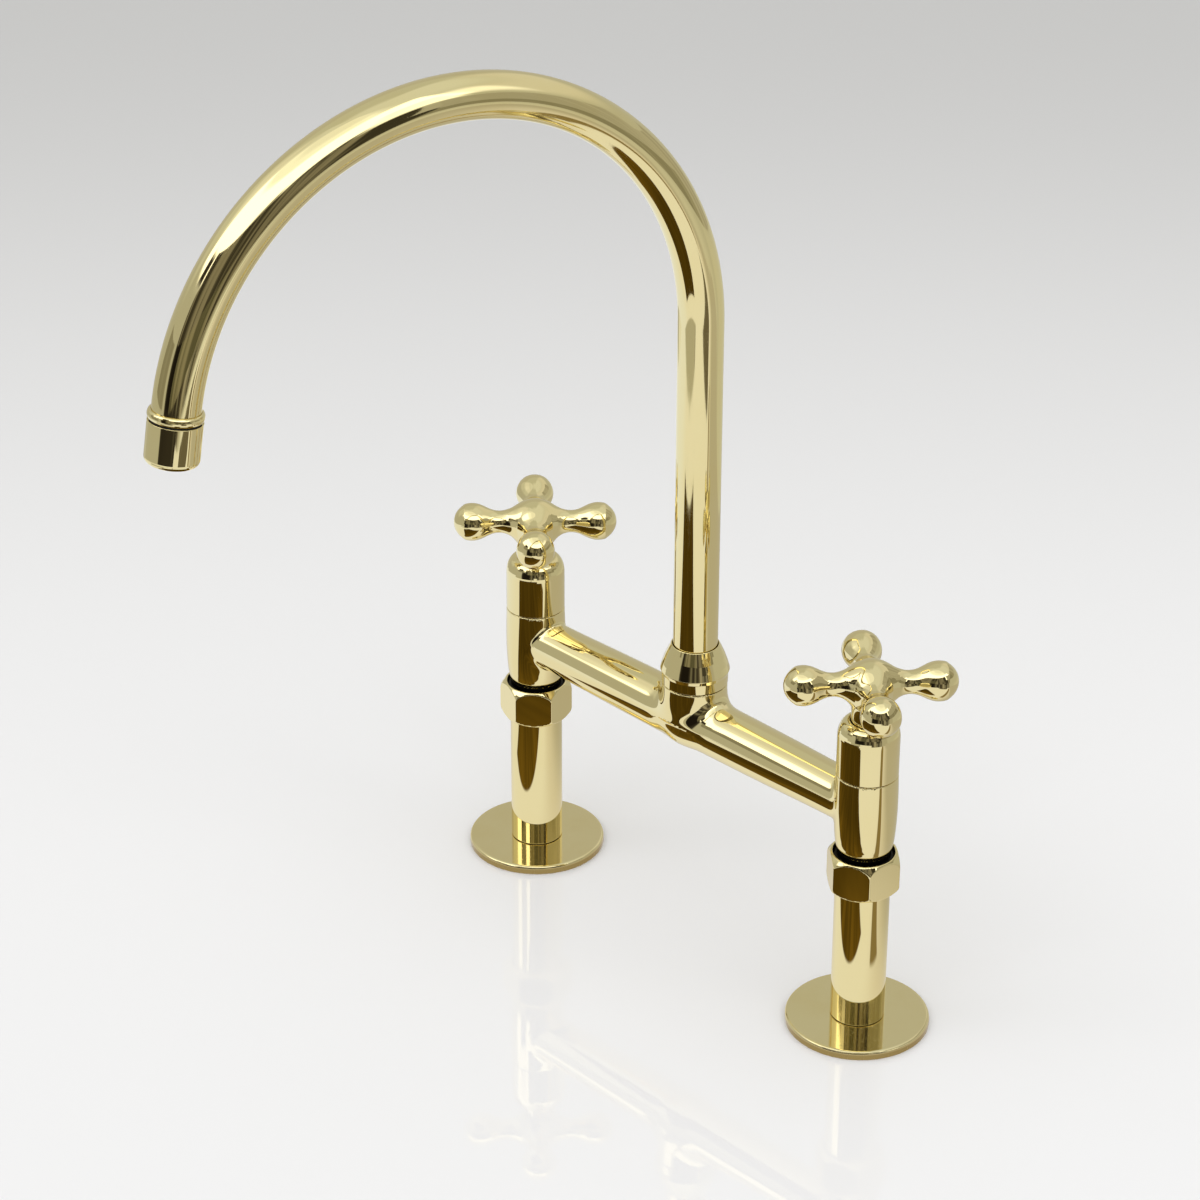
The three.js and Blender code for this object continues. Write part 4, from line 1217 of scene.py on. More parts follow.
# ---------------------------------------------------------------------------------- valve and handle
@dataclass
class Valve(Assembly):
    """One valve: the bonnet and cross handle that show, and the cartridge inside."""

    side: Side
    turn: float
    bonnet_radius: float = 13.15
    bonnet_wall: float = 1.5
    bonnet_play: float = 0.4
    dome_width: float = 4.4
    dome_height: float = 7.3
    dome_points: int = 15
    neck_radius: float = 7.7
    neck_fillet: float = 5.5
    hub_radius: float = 10.9
    hub_above: float = 11.3
    hub_drop: float = 0.6
    ball_radius: float = 8.2
    ball_reach: float = 28.2
    ball_fillet: float = 8.5
    spoke_radius: float = 4.75
    spoke_fillet: float = 9.5
    stem_radius: float = 4.4
    stem_below_plane: float = 5.4
    handle_cell: float = 0.6
    handle_margin: float = 0.5
    screw_radius: float = 1.9
    screw_length: float = 2.6
    screw_start: float = 4.8
    screw_from_spoke: float = 45.0
    screw_play: float = 0.2
    screw_hole_start: float = 3.0
    screw_hole_edge: float = 0.35
    screw_tip: float = 1.3
    screw_tip_chamfer: float = 0.6
    screw_mouth: float = 1.5
    screw_mouth_chamfer: float = 0.3
    socket_flats: float = 1.0
    socket_depth: float = 1.5

    def __post_init__(self) -> None:
        """Finds the valve's axis and the cross's plane."""
        self.label = self.side.value
        self.place = Placement(origin=(self.side.axis, 0.0, 0.0), about_z=self.turn)
        self.neck_bottom, high = heights(f"{self.label}_handle")
        self.plane = high - self.hub_above
        low, high = heights(f"{self.label}_handle_grub_screw")
        self.screw_height = (low + high) / 2

    def build(self) -> None:
        """Makes every piece of the valve."""
        self.bonnet()
        self.handle()
        self.grub_screw()
        for nodes, finish in (
            (("stem", "cartridge_body"), ROUGH_BRASS),
            (("fixed_disc", "moving_disc"), CERAMIC),
            (("seat_seal", "stem_o_ring"), RUBBER),
            (("stem_circlip",), STEEL),
        ):
            self.keep([f"{self.label}_{node}" for node in nodes], finish)

    def bonnet(self) -> None:
        """A straight cup with an elliptical shoulder, open round the handle's neck.

        The shoulder's outline is radius = inner + width cos t, height = shoulder + rise sin t, for t
        from 0 to 90 degrees.
        """
        low, high = heights(f"{self.label}_bonnet")
        shoulder = high - self.dome_height
        inner = self.bonnet_radius - self.dome_width
        dome = [
            (inner + self.dome_width * math.cos(t), shoulder + self.dome_height * math.sin(t), SOFT_EDGE)
            for t in np.radians(np.linspace(0, 90, self.dome_points))
        ]
        hole = self.neck_radius + self.bonnet_play
        wall = self.bonnet_radius - self.bonnet_wall
        corners = [
            (wall, low, CRISP),
            (self.bonnet_radius, low, BROKEN),
            *dome,
            (hole, high, 0.25),
            (hole, high - self.bonnet_wall, 0.25),
            (wall, shoulder, 2.0),
        ]
        place = Placement(origin=self.place.origin)
        piece = lathe(f"{self.label}_domed_bonnet", corners, place, sides=128, steps=3)
        self.finish(piece, BRASS, Body.FIXED, f"{self.label}_bonnet")

    def spokes(self, points: Array) -> Array:
        """Distance to the four spokes: a round bar drawn out into a ball at its end.

        Args:
            points: places, in millimetres.

        Returns:
            The signed distance at each place.
        """
        x, y, z = points[..., 0], points[..., 1], points[..., 2] - self.plane
        nearest = np.full(x.shape, FAR)
        for along, across in ((x, y), (-x, y), (y, x), (-y, x)):
            radius = np.hypot(across, z)
            bar = np.maximum(radius - self.spoke_radius, np.maximum(-along, along - self.ball_reach))
            ball = np.sqrt((along - self.ball_reach) ** 2 + radius**2) - self.ball_radius
            nearest = np.minimum(nearest, blend(bar, ball, self.ball_fillet))
        return nearest

    def surface(self, points: Array) -> Array:
        """The handle's signed distance.

        The grub screw's hole runs halfway between two spokes, so the distance towards it is
        (x + y) * sqrt(1/2), and the distance across it (y - x) * sqrt(1/2).

        Args:
            points: places, in millimetres.

        Returns:
            The signed distance at each place.
        """
        radius, z = about_z(points)
        hub = np.sqrt(radius**2 + (z - self.plane + self.hub_drop) ** 2) - self.hub_radius
        neck = np.maximum(radius - self.neck_radius, between(z, self.neck_bottom, self.plane))
        body = blend(blend(hub, neck, self.neck_fillet), self.spokes(points), self.spoke_fillet)
        socket = np.maximum(radius - self.stem_radius, z - self.plane + self.stem_below_plane)
        diagonal = math.sqrt(0.5)
        x, y = points[..., 0], points[..., 1]
        towards, across = (x + y) * diagonal, (y - x) * diagonal
        thread = np.hypot(across, z - self.screw_height) - self.screw_radius - self.screw_play
        screw = np.maximum(thread, self.screw_hole_start - towards)
        return cut(cut(body, -socket, FINE_EDGE), -screw, self.screw_hole_edge)

    def handle(self) -> None:
        """The cross handle, as one smooth skin."""
        reach = self.ball_reach + self.ball_radius + self.handle_margin
        low = (-reach, -reach, self.neck_bottom)
        high = (reach, reach, self.plane + self.hub_above + self.handle_margin)
        name = f"{self.label}_cross_handle"
        piece = implicit(name, self.surface, low, high, self.handle_cell, self.place)
        self.finish(piece, BRASS, self.side.body, f"{self.label}_handle")

    def grub_screw(self) -> None:
        """A headless screw with a hexagon socket, lying towards the gap between two spokes."""
        length, flats = self.screw_length, self.socket_flats

        def recess(angle: Array, points: Array) -> Array:
            """Turns the socket's round wall into a hexagon: flats / cos of the angle to a flat.

            Args:
                angle: angles round the screw, in one row.
                points: radius and height of each point of the outline.

            Returns:
                How far each point is moved out.
            """
            hexagon = flats / np.cos((angle + math.pi / 6) % (math.pi / 3) - math.pi / 6)
            return np.where(np.abs(points[:, :1] - flats) < 0.01, hexagon - flats, 0.0)

        corners = [
            (0.0, 0.0, 0.0),
            (self.screw_tip, 0.0, CRISP),
            (self.screw_radius, self.screw_tip_chamfer, CRISP),
            (self.screw_radius, length - self.screw_mouth_chamfer, CRISP),
            (self.screw_mouth, length, FINE),
            (flats, length, 0.0),
            (flats, length - self.socket_depth, 0.0),
            (0.0, length - self.socket_depth, 0.0),
        ]
        turn = self.turn + self.screw_from_spoke
        origin = (
            self.side.axis + self.screw_start * math.cos(math.radians(turn)),
            self.screw_start * math.sin(math.radians(turn)),
            self.screw_height,
        )
        place = Placement(origin, about_y=90.0, about_z=turn)
        piece = lathe(f"{self.label}_socket_screw", corners, place, sides=48, steps=3, shape=recess)
        self.finish(piece, STEEL, self.side.body, f"{self.label}_handle_grub_screw")


# ----------------------------------------------------------------------------------------- the spout
@dataclass
class Spout(Assembly):
    """The gooseneck, its nut below and its outlet at the tip.

    The nut's cone is a table of heights above its band, steps in from its radius and roundings.
    The outlet's heights are counted along the tube's end, from where the bend stops.
    """

    turn: float = -101.8
    tube: float = 9.75
    wall: float = 1.2
    bend_radius: float = 120.0
    bend_angle: float = 171.2
    squashed_by: float = 0.045
    squashed_at: float = 55.0
    squashed_over: float = 32.0
    riser_gap: float = 0.5
    riser_rows: int = 24
    bend_rows: int = 150
    tube_sides: int = 72
    nut_bore: float = 12.4
    nut_radius: float = 15.1
    nut_lip: float = 10.5
    band: float = 14.35
    band_height: float = 6.0
    band_swell: float = 0.1
    band_shoulder: float = 1.3
    nut_cone: tuple[Corner, ...] = ((0.5, 0.0, 0.7), (3.6, 0.85, 5.0), (7.2, 2.15, 8.0), (10.2, 3.5, 6.0))
    tip_top: float = 0.4
    tip_fit: float = 0.06
    tip_bore: float = 7.0
    bead_radius: float = 11.1
    bead_height: float = 3.8
    bead_rim: float = 0.1
    bead_span: tuple[float, float] = (-80.0, 84.0)
    bead_points: int = 15
    nipple_radius: float = 9.3
    nipple_length: float = 5.0
    washer_gap: float = 0.2
    washer_height: float = 0.8
    washer_inset: float = 0.9
    aerator_radius: float = 11.0
    aerator_length: float = 16.8
    aerator_lip: float = 0.65
    aerator_lip_wall: float = 0.5
    aerator_floor: float = 1.5
    aerator_mouth: float = 8.2
    aerator_foot: tuple[float, float] = (2.2, 2.6)
    aerator_foot_points: int = 9
    screen_pitch: float = 1.15
    screen_wire: float = 0.17
    screen_wave: float = 0.12
    screen_inset: float = 0.35
    screen_band: tuple[float, float] = (0.3, 0.28)
    screen_above_floor: float = 0.6

    def __post_init__(self) -> None:
        """Finds where the bend starts and where the outlet hangs."""
        self.tube_bottom, high = heights("spout_tube")
        self.bend_start = high - self.bend_radius - self.tube
        end = math.radians(self.bend_angle)
        out = self.bend_radius * (1 - math.cos(end))
        heading = math.radians(self.turn)
        origin = (
            out * math.cos(heading),
            out * math.sin(heading),
            self.bend_start + self.bend_radius * math.sin(end),
        )
        self.outlet = Placement(origin, about_y=self.bend_angle - 180.0, about_z=self.turn)
        self.bead_bottom = self.tip_top - self.bead_height
        self.aerator_top = self.bead_bottom - self.washer_gap * 2 - self.washer_height

    def build(self) -> None:
        """Makes every piece of the spout."""
        self.nut()
        self.gooseneck()
        self.bead()
        self.washer()
        self.aerator()
        self.screen()
        self.keep(["spout_spigot"], ROUGH_BRASS)
        self.keep(["spout_o_ring_upper", "spout_o_ring_lower", "aerator_seal"], RUBBER)
        self.keep(["spout_slip_ring", "aerator_insert"], NYLON)

    def nut(self) -> None:
        """The domed nut round the tube's foot: a straight band below a swelling cone."""
        low, high = heights("spout_nut")
        shoulder = low + self.band_height
        hole = self.tube + GAP
        shelf = heights("spout_slip_ring")[1] + GAP
        cone = [(self.nut_radius - inset, shoulder + up, rounding) for up, inset, rounding in self.nut_cone]
        corners = [
            (self.nut_bore, low, CRISP),
            (self.band, low, 0.35),
            (self.band + self.band_swell, shoulder - self.band_shoulder, 0.8),
            *cone,
            (self.nut_lip, high, 0.55),
            (hole, high, 0.25),
            (hole, shelf, CRISP),
            (self.nut_bore, shelf, CRISP),
        ]
        piece = lathe("domed_spout_nut", corners, sides=128)
        self.finish(piece, BRASS, Body.FIXED, "spout_nut")

    def squash(self, angle: Array) -> Array:
        """How the bend changes the tube's section: thinner in its plane where it bends most.

        Args:
            angle: how far round the bend, in degrees.

        Returns:
            A factor on the radius in the bend's plane.
        """
        return 1.0 - self.squashed_by * np.exp(-(((angle - self.squashed_at) / self.squashed_over) ** 2))

    def gooseneck(self) -> None:
        """The bent tube, outside and inside, closed by rounded ends.

        The centre line is straight up, then a circle about a point level with the bend's start,
        then straight down. A section's points are the centre plus radius (cos t outward + sin t
        across).
        """
        end = self.bead_height / 2
        bend = np.linspace(0, self.bend_angle, self.bend_rows)
        riser = np.linspace(self.tube_bottom - self.bend_start, -self.riser_gap, self.riser_rows)
        angle = np.concatenate([np.zeros(self.riser_rows), bend, [self.bend_angle] * 2])
        beyond = np.concatenate([riser, np.zeros(self.bend_rows), [end / 2, end]])
        turn = np.radians(angle)[:, None]
        t = np.linspace(0, 2 * math.pi, self.tube_sides, endpoint=False)[None, :]
        flat = self.squash(angle)[:, None]

        def skin(radius: float) -> tuple[Array, Array]:
            """Works out one wall of the tube.

            Args:
                radius: the wall's radius before the bend squashes it.

            Returns:
                The wall's points and normals.
            """
            offset = radius * flat * np.cos(t)
            out = self.bend_radius - offset
            along = np.where(angle > 0, beyond, 0.0)[:, None]
            below = np.where(angle > 0, 0.0, beyond)[:, None]
            x = self.bend_radius - out * np.cos(turn) + along * np.sin(turn)
            z = self.bend_start + out * np.sin(turn) + along * np.cos(turn) + below
            y = radius * np.sin(t) + 0 * turn
            outward = (np.cos(t) * np.cos(turn), np.sin(t) + 0 * turn, -np.cos(t) * np.sin(turn))
            return np.stack([x, y, z], axis=-1), np.stack(outward, axis=-1)

        outside, outward = skin(self.tube)
        inside, inward = skin(self.tube - self.wall)
        points = np.concatenate([outside, inside[::-1]])
        normals = np.concatenate([outward, -inward[::-1]])
        faces = grid_faces(len(points), self.tube_sides, loop_rows=True, poles=False)
        place = Placement(about_z=self.turn)
        piece = make_object(
            "gooseneck_tube", place.place(points.reshape(-1, 3)), faces, place.turn(normals.reshape(-1, 3)),
        )
        self.finish(piece, TUBE_BRASS, Body.SPOUT, "spout_tube")

    def bead(self) -> None:
        """The rolled bead at the tip, with the threaded nipple below it.

        The bead's outline is half an ellipse: radius = root + swell cos t, height = middle + half
        the bead's height sin t, for t from nearly -90 to nearly 90 degrees.
        """
        top, bottom = self.tip_top, self.bead_bottom
        end = -self.bead_height / 2 - GAP
        root = self.tube + GAP
        swell = self.bead_radius + self.bead_rim - root
        middle, half = (top + bottom) / 2, self.bead_height / 2
        rim = [
            (root + swell * math.cos(t), middle + half * math.sin(t), BROKEN)
            for t in np.radians(np.linspace(*self.bead_span, self.bead_points))
        ]
        hole = self.tube + self.tip_fit
        corners = [
            (hole, top, 0.05),
            (hole, end, FINE),
            (self.tip_bore, end, BROKEN),
            (self.tip_bore, bottom - self.nipple_length, BROKEN),
            (self.nipple_radius, bottom - self.nipple_length, 0.4),
            (self.nipple_radius, bottom, FINE),
            *rim,
        ]
        piece = lathe("tip_bead", corners, self.outlet, sides=112, steps=4)
        self.finish(piece, BRASS, Body.SPOUT, "tip_collar")

    def washer(self) -> None:
        """The black washer between the bead and the aerator."""
        low = self.bead_bottom - self.washer_gap - self.washer_height
        inner, outer = self.nipple_radius + GAP, self.bead_radius - self.washer_inset
        piece = ring("outlet_washer", inner, outer, low, low + self.washer_height, 0.25, self.outlet)
        self.finish(piece, RUBBER, Body.SPOUT, "aerator_washer")

    def aerator(self) -> None:
        """The aerator's housing: a cup with a thin lip round its washer and a well rounded foot.

        The foot's outline is a quarter of an ellipse: radius = root + width cos t, height = level +
        rise sin t, for t from -90 to 0 degrees.
        """
        shelf = self.aerator_top
        lip = shelf + self.aerator_lip
        bottom = shelf - self.aerator_length
        floor = bottom + self.aerator_floor
        bore = self.nipple_radius + GAP
        width, rise = self.aerator_foot
        foot = [
            (self.aerator_radius - width + width * math.cos(t), bottom + rise + rise * math.sin(t), SOFT)
            for t in np.radians(np.linspace(-90, 0, self.aerator_foot_points))
        ]
        corners = [
            (bore, shelf, CRISP),
            (bore, floor, FINE),
            (self.aerator_mouth, floor, BROKEN),
            (self.aerator_mouth, bottom, BROKEN),
            *foot,
            (self.aerator_radius, lip, BROKEN),
            (self.aerator_radius - self.aerator_lip_wall, lip, 0.15),
            (self.aerator_radius - self.aerator_lip_wall, shelf, FINE),
        ]
        piece = lathe("aerator_cup", corners, self.outlet, sides=112)
        self.finish(piece, BRASS, Body.SPOUT, "aerator_housing")

    def screen(self) -> None:
        """A woven wire screen: two crossed sets of wires in a thin rim.

        A wire at distance d from the middle is a round bar along the chord of the circle there,
        and rises and falls by height = amplitude * cos(pi * place / pitch) between its neighbours.
        """
        level = self.aerator_top - self.aerator_length + self.aerator_floor + self.screen_above_floor
        pitch, wire, rim = self.screen_pitch, self.screen_wire, self.nipple_radius - self.screen_inset
        wire_rows, wire_sides, band_sides, band_rows = 41, 6, 72, 8
        count = int(rim / pitch)
        offsets = np.arange(-count, count + 1) * pitch
        s = np.linspace(-1, 1, wire_rows)
        t = np.linspace(0, 2 * math.pi, wire_sides, endpoint=False)
        chord = np.sqrt(rim**2 - offsets**2)
        number = np.arange(len(offsets))
        along = chord[:, None, None] * s[None, :, None] + 0 * t
        phase = np.cos(math.pi * along / pitch) * np.where(number % 2, 1, -1)[:, None, None]
        points, faces = [], []
        for crosswise in (False, True):
            rise = self.screen_wave * phase * (-1 if crosswise else 1) + wire * np.sin(t)
            aside = offsets[:, None, None] + wire * np.cos(t) + 0 * along
            pair = (aside, along) if crosswise else (along, aside)
            wires = np.stack([*pair, level + rise], axis=-1)
            caps = wires[:, [0, -1]].mean(axis=2, keepdims=True).repeat(len(t), axis=2)
            wires = np.concatenate([caps[:, :1], wires, caps[:, 1:]], axis=1)
            each = grid_faces(wires.shape[1], len(t), loop_rows=False, poles=True)
            base = sum(len(p) for p in points)
            starts = base + number * wires.shape[1] * len(t)
            faces.append((starts[:, None, None] + each[None]).reshape(-1, 4))
            points.append(wires.reshape(-1, 3))
        wide, high = self.screen_band
        around_t = np.linspace(0, 2 * math.pi, band_sides, endpoint=False)[None, :]
        section_t = np.linspace(0, 2 * math.pi, band_rows, endpoint=False)[:, None]
        radius = rim + wide * np.cos(section_t)
        band_height = level + high * np.sin(section_t) + 0 * around_t
        band = np.stack([radius * np.cos(around_t), radius * np.sin(around_t), band_height], axis=-1)
        band_faces = grid_faces(band_rows, band_sides, loop_rows=True, poles=False)[:, ::-1]
        faces.append(sum(len(p) for p in points) + band_faces)
        points.append(band.reshape(-1, 3))
        everything = self.outlet.place(np.concatenate(points))
        piece = make_object("woven_screen", everything, np.concatenate(faces))
        self.finish(piece, STEEL, Body.SPOUT, "aerator_screen")


# --------------------------------------------------------------------------------------------- studio
@dataclass
class Camera:
    """The photograph's camera, by its direction from the object and its distance."""

    azimuth: float = 46.144
    elevation: float = 28.083
    roll: float = 0.18
    distance: float = 1507.45
    target: tuple[float, float, float] = (7.784, -64.722, 192.936)
    lens: float = 109.35
    sensor: float = 36.0
    clips: tuple[float, float] = (50.0, 60000.0)

    def build(self) -> None:
        """Makes the camera, looking at its target, and lets the scene use it.

        The direction back to the camera is (sin a cos e, -cos a cos e, sin e), with a the azimuth
        and e the elevation, and its two other axes are leaned by the roll.
        """
        a, e = math.radians(self.azimuth), math.radians(self.elevation)
        back = Vector((math.sin(a) * math.cos(e), -math.cos(a) * math.cos(e), math.sin(e)))
        right = Vector((math.cos(a), math.sin(a), 0.0))
        up = back.cross(right)
        lean = math.radians(self.roll)
        across = right * math.cos(lean) + up * math.sin(lean)
        upward = up * math.cos(lean) - right * math.sin(lean)
        data = bpy.data.cameras.new("photo_camera")
        data.lens, data.sensor_width, data.sensor_fit = self.lens, self.sensor, "HORIZONTAL"
        data.clip_start, data.clip_end = (distance * MM for distance in self.clips)
        camera = bpy.data.objects.new("photo_camera", data)
        turn = Matrix((across, upward, back)).transposed().to_4x4()
        place = (Vector(self.target) + back * self.distance) * MM
        camera.matrix_world = Matrix.Translation(place) @ turn
        bpy.context.scene.collection.objects.link(camera)
        bpy.context.scene.camera = camera


@dataclass(frozen=True)
class Glow:
    """A patch of the room that the brass mirrors, by direction, with soft edges.

    Angles are in degrees: across is counted from +X towards +Y, and up from the horizon.
    """

    across: tuple[float, float]
    up: tuple[float, float]
    colour: Colour
    soft: float = 4.0


ROOM = (
    Glow((-190, -98), (-90, 36), (0.48, 0.48, 0.43), 6),
    Glow((122, 190), (-90, 38), (0.52, 0.51, 0.45), 14),
    Glow((-192, -150), (12, 62), (0.62, 0.63, 0.57), 12),
    Glow((-174, -112), (34, 60), (0.8, 0.8, 0.75), 12),
    Glow((120, 192), (38, 74), (0.57, 0.58, 0.52), 14),
    Glow((30, 122), (22, 48), (0.72, 0.71, 0.65), 14),
    Glow((-150, 12), (30, 100), (0.98, 1.0, 0.95), 20),
    Glow((-142, 4), (56, 71), (1.16, 1.2, 1.16), 9),
    Glow((18, 42), (27, 46), (1.25, 1.27, 1.24), 12),
    Glow((-140, 24), (26, 58), (2.0, 2.0, 1.95), 6),
    Glow((2, 20), (20, 40), (1.6, 1.6, 1.5), 5),
    Glow((-3, 20), (-90, 15), (0.45, 0.44, 0.38), 8),
    Glow((-97, -1), (-90, 25), (0.2, 0.19, 0.155), 4),
    Glow((-60, -24), (-90, 30), (0.34, 0.32, 0.26), 5),
    Glow((-97, -33), (-90, 22), (0.035, 0.03, 0.022), 5),
    Glow((-92, -66), (-12, 17), (0.012, 0.01, 0.008), 6),
    Glow((-61, -55), (-12, 14), (0.17, 0.16, 0.12), 6),
    Glow((-46, -41), (-16, 20), (0.17, 0.16, 0.12), 5),
    Glow((-21, -2), (3, 24), (0.06, 0.055, 0.04), 4),
    Glow((-36, -30), (-20, 24), (0.08, 0.07, 0.05), 4),
    Glow((-25, -22), (-20, 24), (0.36, 0.33, 0.26), 3),
    Glow((-15, -11), (-20, 8), (0.05, 0.045, 0.03), 4),
    Glow((-7, -5), (-20, 22), (0.34, 0.32, 0.25), 2),
    Glow((-118, -98), (25, 35), (0.03, 0.025, 0.02), 4),
    Glow((50, 150), (-90, -12), (0.6, 0.6, 0.52), 14),
    Glow((-190, 14), (-90, -20), (0.84, 0.85, 0.81), 3),
    Glow((14, 40), (-90, -20), (0.68, 0.68, 0.61), 22),
)


@dataclass(frozen=True)
class Onlooker:
    """A dim sheet curved round the front: its ends in degrees, its edges in millimetres."""

    across: tuple[float, float]
    up: tuple[float, float]
    dark: Colour = (0.045, 0.04, 0.028)
    light: Colour = (0.24, 0.22, 0.17)


ONLOOKERS = (
    Onlooker((-97.0, -3.0), (380.0, 580.0)),
    Onlooker((-42.0, 1.0), (235.0, 380.0)),
    Onlooker((-128.0, -104.0), (270.0, 380.0), (0.26, 0.25, 0.2), (0.34, 0.33, 0.27)),
    Onlooker((-88.0, -42.0), (260.0, 380.0), (0.1, 0.095, 0.06), (0.26, 0.24, 0.17)),
    Onlooker((1.0, 60.0), (235.0, 350.0), (0.26, 0.25, 0.19), (0.34, 0.33, 0.26)),
    Onlooker((1.0, 60.0), (350.0, 580.0), (0.4, 0.39, 0.33), (0.5, 0.49, 0.43)),
    Onlooker((60.0, 96.0), (235.0, 480.0), (0.38, 0.37, 0.31), (0.46, 0.45, 0.39)),
)


@dataclass(frozen=True)
class Zone:
    """A patch of the tabletop: its edges and how soft they are, in millimetres."""

    across: tuple[float, float]
    along: tuple[float, float]
    soft: tuple[float, float]
    colour: Colour

    def mask(self, x: Value, y: Value) -> Value:
        """Is 1 in the patch and 0 outside it."""
        return x.window(*self.across, self.soft[0]) * y.window(*self.along, self.soft[1])


@dataclass
class Studio:
    """The pale floor, and the room and tabletop that the polished brass mirrors.

    A fade's two numbers are where it starts and where it is complete.
    """

    floor_colour: Colour = (0.867, 0.86, 0.903)
    # Painted shade on the floor: the share of its colour that is left far behind the faucet, and where that
    # fade starts and ends.
    floor_far_shade_share: float = 0.66
    floor_shade_fade: tuple[float, float] = (0.0, 1300.0)
    floor_ior: float = 1.6
    extent: float = 6000.0
    wall: Colour = (0.52, 0.52, 0.46)
    ceiling: Colour = (0.74, 0.76, 0.72)
    ceiling_fade: tuple[float, float] = (30.0, 62.0)
    table: tuple[float, float, float, float] = (-620.0, 720.0, -780.0, 420.0)
    table_drop: float = 0.6
    cloth: Colour = (0.88, 0.88, 0.86)
    cloth_near: Colour = (0.75, 0.72, 0.67)
    cloth_near_fade: tuple[float, float] = (-34.0, 30.0)
    cloth_behind: Colour = (0.5, 0.48, 0.42)
    cloth_behind_fade: tuple[float, float] = (15.0, 115.0)
    cloth_left: Colour = (0.88, 0.92, 0.98)
    cloth_left_fade: tuple[float, float] = (-180.0, -420.0)
    cloth_beyond: Colour = (0.47, 0.46, 0.39)
    beyond: tuple[float, float, float] = (-450.0, 172.0, -578.0)
    beyond_soft: float = 5.0
    beyond_slants: tuple[float, float] = (0.09, 0.55)
    rim_width: float = 16.0
    rim_soft: float = 6.0
    dim_end: Zone = Zone((552.0, 720.0), (-470.0, -60.0), (12.0, 20.0), (0.15, 0.13, 0.09))
    strip: Zone = Zone((166.0, 600.0), (-9.0, 28.0), (8.0, 7.0), (0.26, 0.2, 0.09))
    board: tuple[float, float, float, float] = (-172.0, 166.0, -440.0, -66.0)
    board_slant: float = 0.085
    board_soft: tuple[float, float] = (3.0, 4.0)
    board_near: Colour = (0.17, 0.1, 0.012)
    board_far: Colour = (0.085, 0.052, 0.007)
    board_fade: tuple[float, float] = (-60.0, -190.0)
    board_grain: Colour = (0.02, 0.012, 0.001)
    board_grain_share: float = 0.55
    onlooker_radius: float = 500.0
    onlooker_steps: int = 24
    lamp_place: tuple[float, float, float] = (-50.0, 50.0, 1600.0)
    lamp_size: float = 1600.0
    lamp_power: float = 3.8

    def sheet(
        self, name: str, corners: Sequence[tuple[float, float, float]],
        faces: Sequence[tuple[int, ...]] = ((0, 1, 2, 3),),
    ) -> bpy.types.Object:
        """Makes a stage piece.

        Args:
            name: its name.
            corners: its corners, in millimetres.
            faces: corner numbers of each face; left out, the four corners make one face.

        Returns:
            The stage piece.
        """
        mesh = bpy.data.meshes.new(name)
        mesh.from_pydata([tuple(c * MM for c in corner) for corner in corners], [], faces)
        piece = bpy.data.objects.new(name, mesh)
        bpy.context.scene.collection.objects.link(piece)
        return piece

    def flat_sheet(
        self, name: str, left: float, right: float, front: float, back: float, height: float,
    ) -> bpy.types.Object:
        """Makes a level stage piece from its four edges and its height."""
        rows = ((left, front), (right, front), (right, back), (left, back))
        return self.sheet(name, [(x, y, height) for x, y in rows])

    def painted(self, piece: bpy.types.Object) -> tuple[Shader, Value, Value]:
        """Starts a stage piece's material.

        Args:
            piece: the stage piece.

        Returns:
            The shader, and the piece's x and y in millimetres.
        """
        material = bpy.data.materials.new(piece.name)
        material.use_nodes = True
        piece.data.materials.append(material)
        shader = Shader(material.node_tree)
        x, y = (value / MM for value in shader.coordinates()[:2])
        return shader, x, y

    def glowing(self, piece: bpy.types.Object, shader: Shader, colour: bpy.types.NodeSocket) -> None:
        """Makes a stage piece shine with a colour, seen in mirror reflections alone.

        Args:
            piece: the stage piece.
            shader: its material's shader.
            colour: what it shines with.
        """
        shader.show("ShaderNodeEmission", {"Color": colour, "Strength": 1.0})
        piece.visible_camera = piece.visible_diffuse = piece.visible_shadow = False
        piece.visible_transmission = False

    def floor(self) -> None:
        """A glossy white floor, with painted shade that makes it a little darker far behind the faucet."""
        size = self.extent
        piece = self.flat_sheet("floor", -size, size, -size, size, 0.0)
        shader, x, y = self.painted(piece)
        # Painted shade: the floor's colour fades to a darker share of itself far behind the faucet.
        depth = (y - x) * math.sqrt(0.5)
        far = tuple(c * self.floor_far_shade_share for c in self.floor_colour)
        colour = shader.mix(depth.step(*self.floor_shade_fade), self.floor_colour, far)
        sockets = {"Base Color": colour, "Roughness": 0.0, "IOR": self.floor_ior}
        shader.show("ShaderNodeBsdfPrincipled", sockets)
        piece.visible_glossy = False

    def spread(self, shader: Shader, x: Value, y: Value) -> bpy.types.NodeSocket:
        """Paints the pale cloth, dim behind the faucet and past its slanted front edge.

        Args:
            shader: the tabletop's shader.
            x: place across, in millimetres.
            y: place along, in millimetres.

        Returns:
            The cloth's colour.
        """
        cloth = shader.mix(y.step(*self.cloth_near_fade), self.cloth, self.cloth_near)
        cloth = shader.mix(y.step(*self.cloth_behind_fade), cloth, self.cloth_behind)
        cloth = shader.mix(x.step(*self.cloth_left_fade), cloth, self.cloth_left)
        left, right, front = self.beyond
        edge_slant, rim_slant = self.beyond_slants
        past = (y + x * edge_slant).step(front + self.beyond_soft, front - self.beyond_soft)
        rim = x + (y - front) * rim_slant
        cloth = shader.mix(past * rim.window(left, right, self.rim_soft), cloth, self.cloth_beyond)
        edge = past * rim.window(right, right + self.rim_width, self.rim_soft)
        cloth = shader.mix(edge, cloth, self.dim_end.colour)
        for zone in (self.dim_end, self.strip):
            cloth = shader.mix(zone.mask(x, y), cloth, zone.colour)
        return cloth

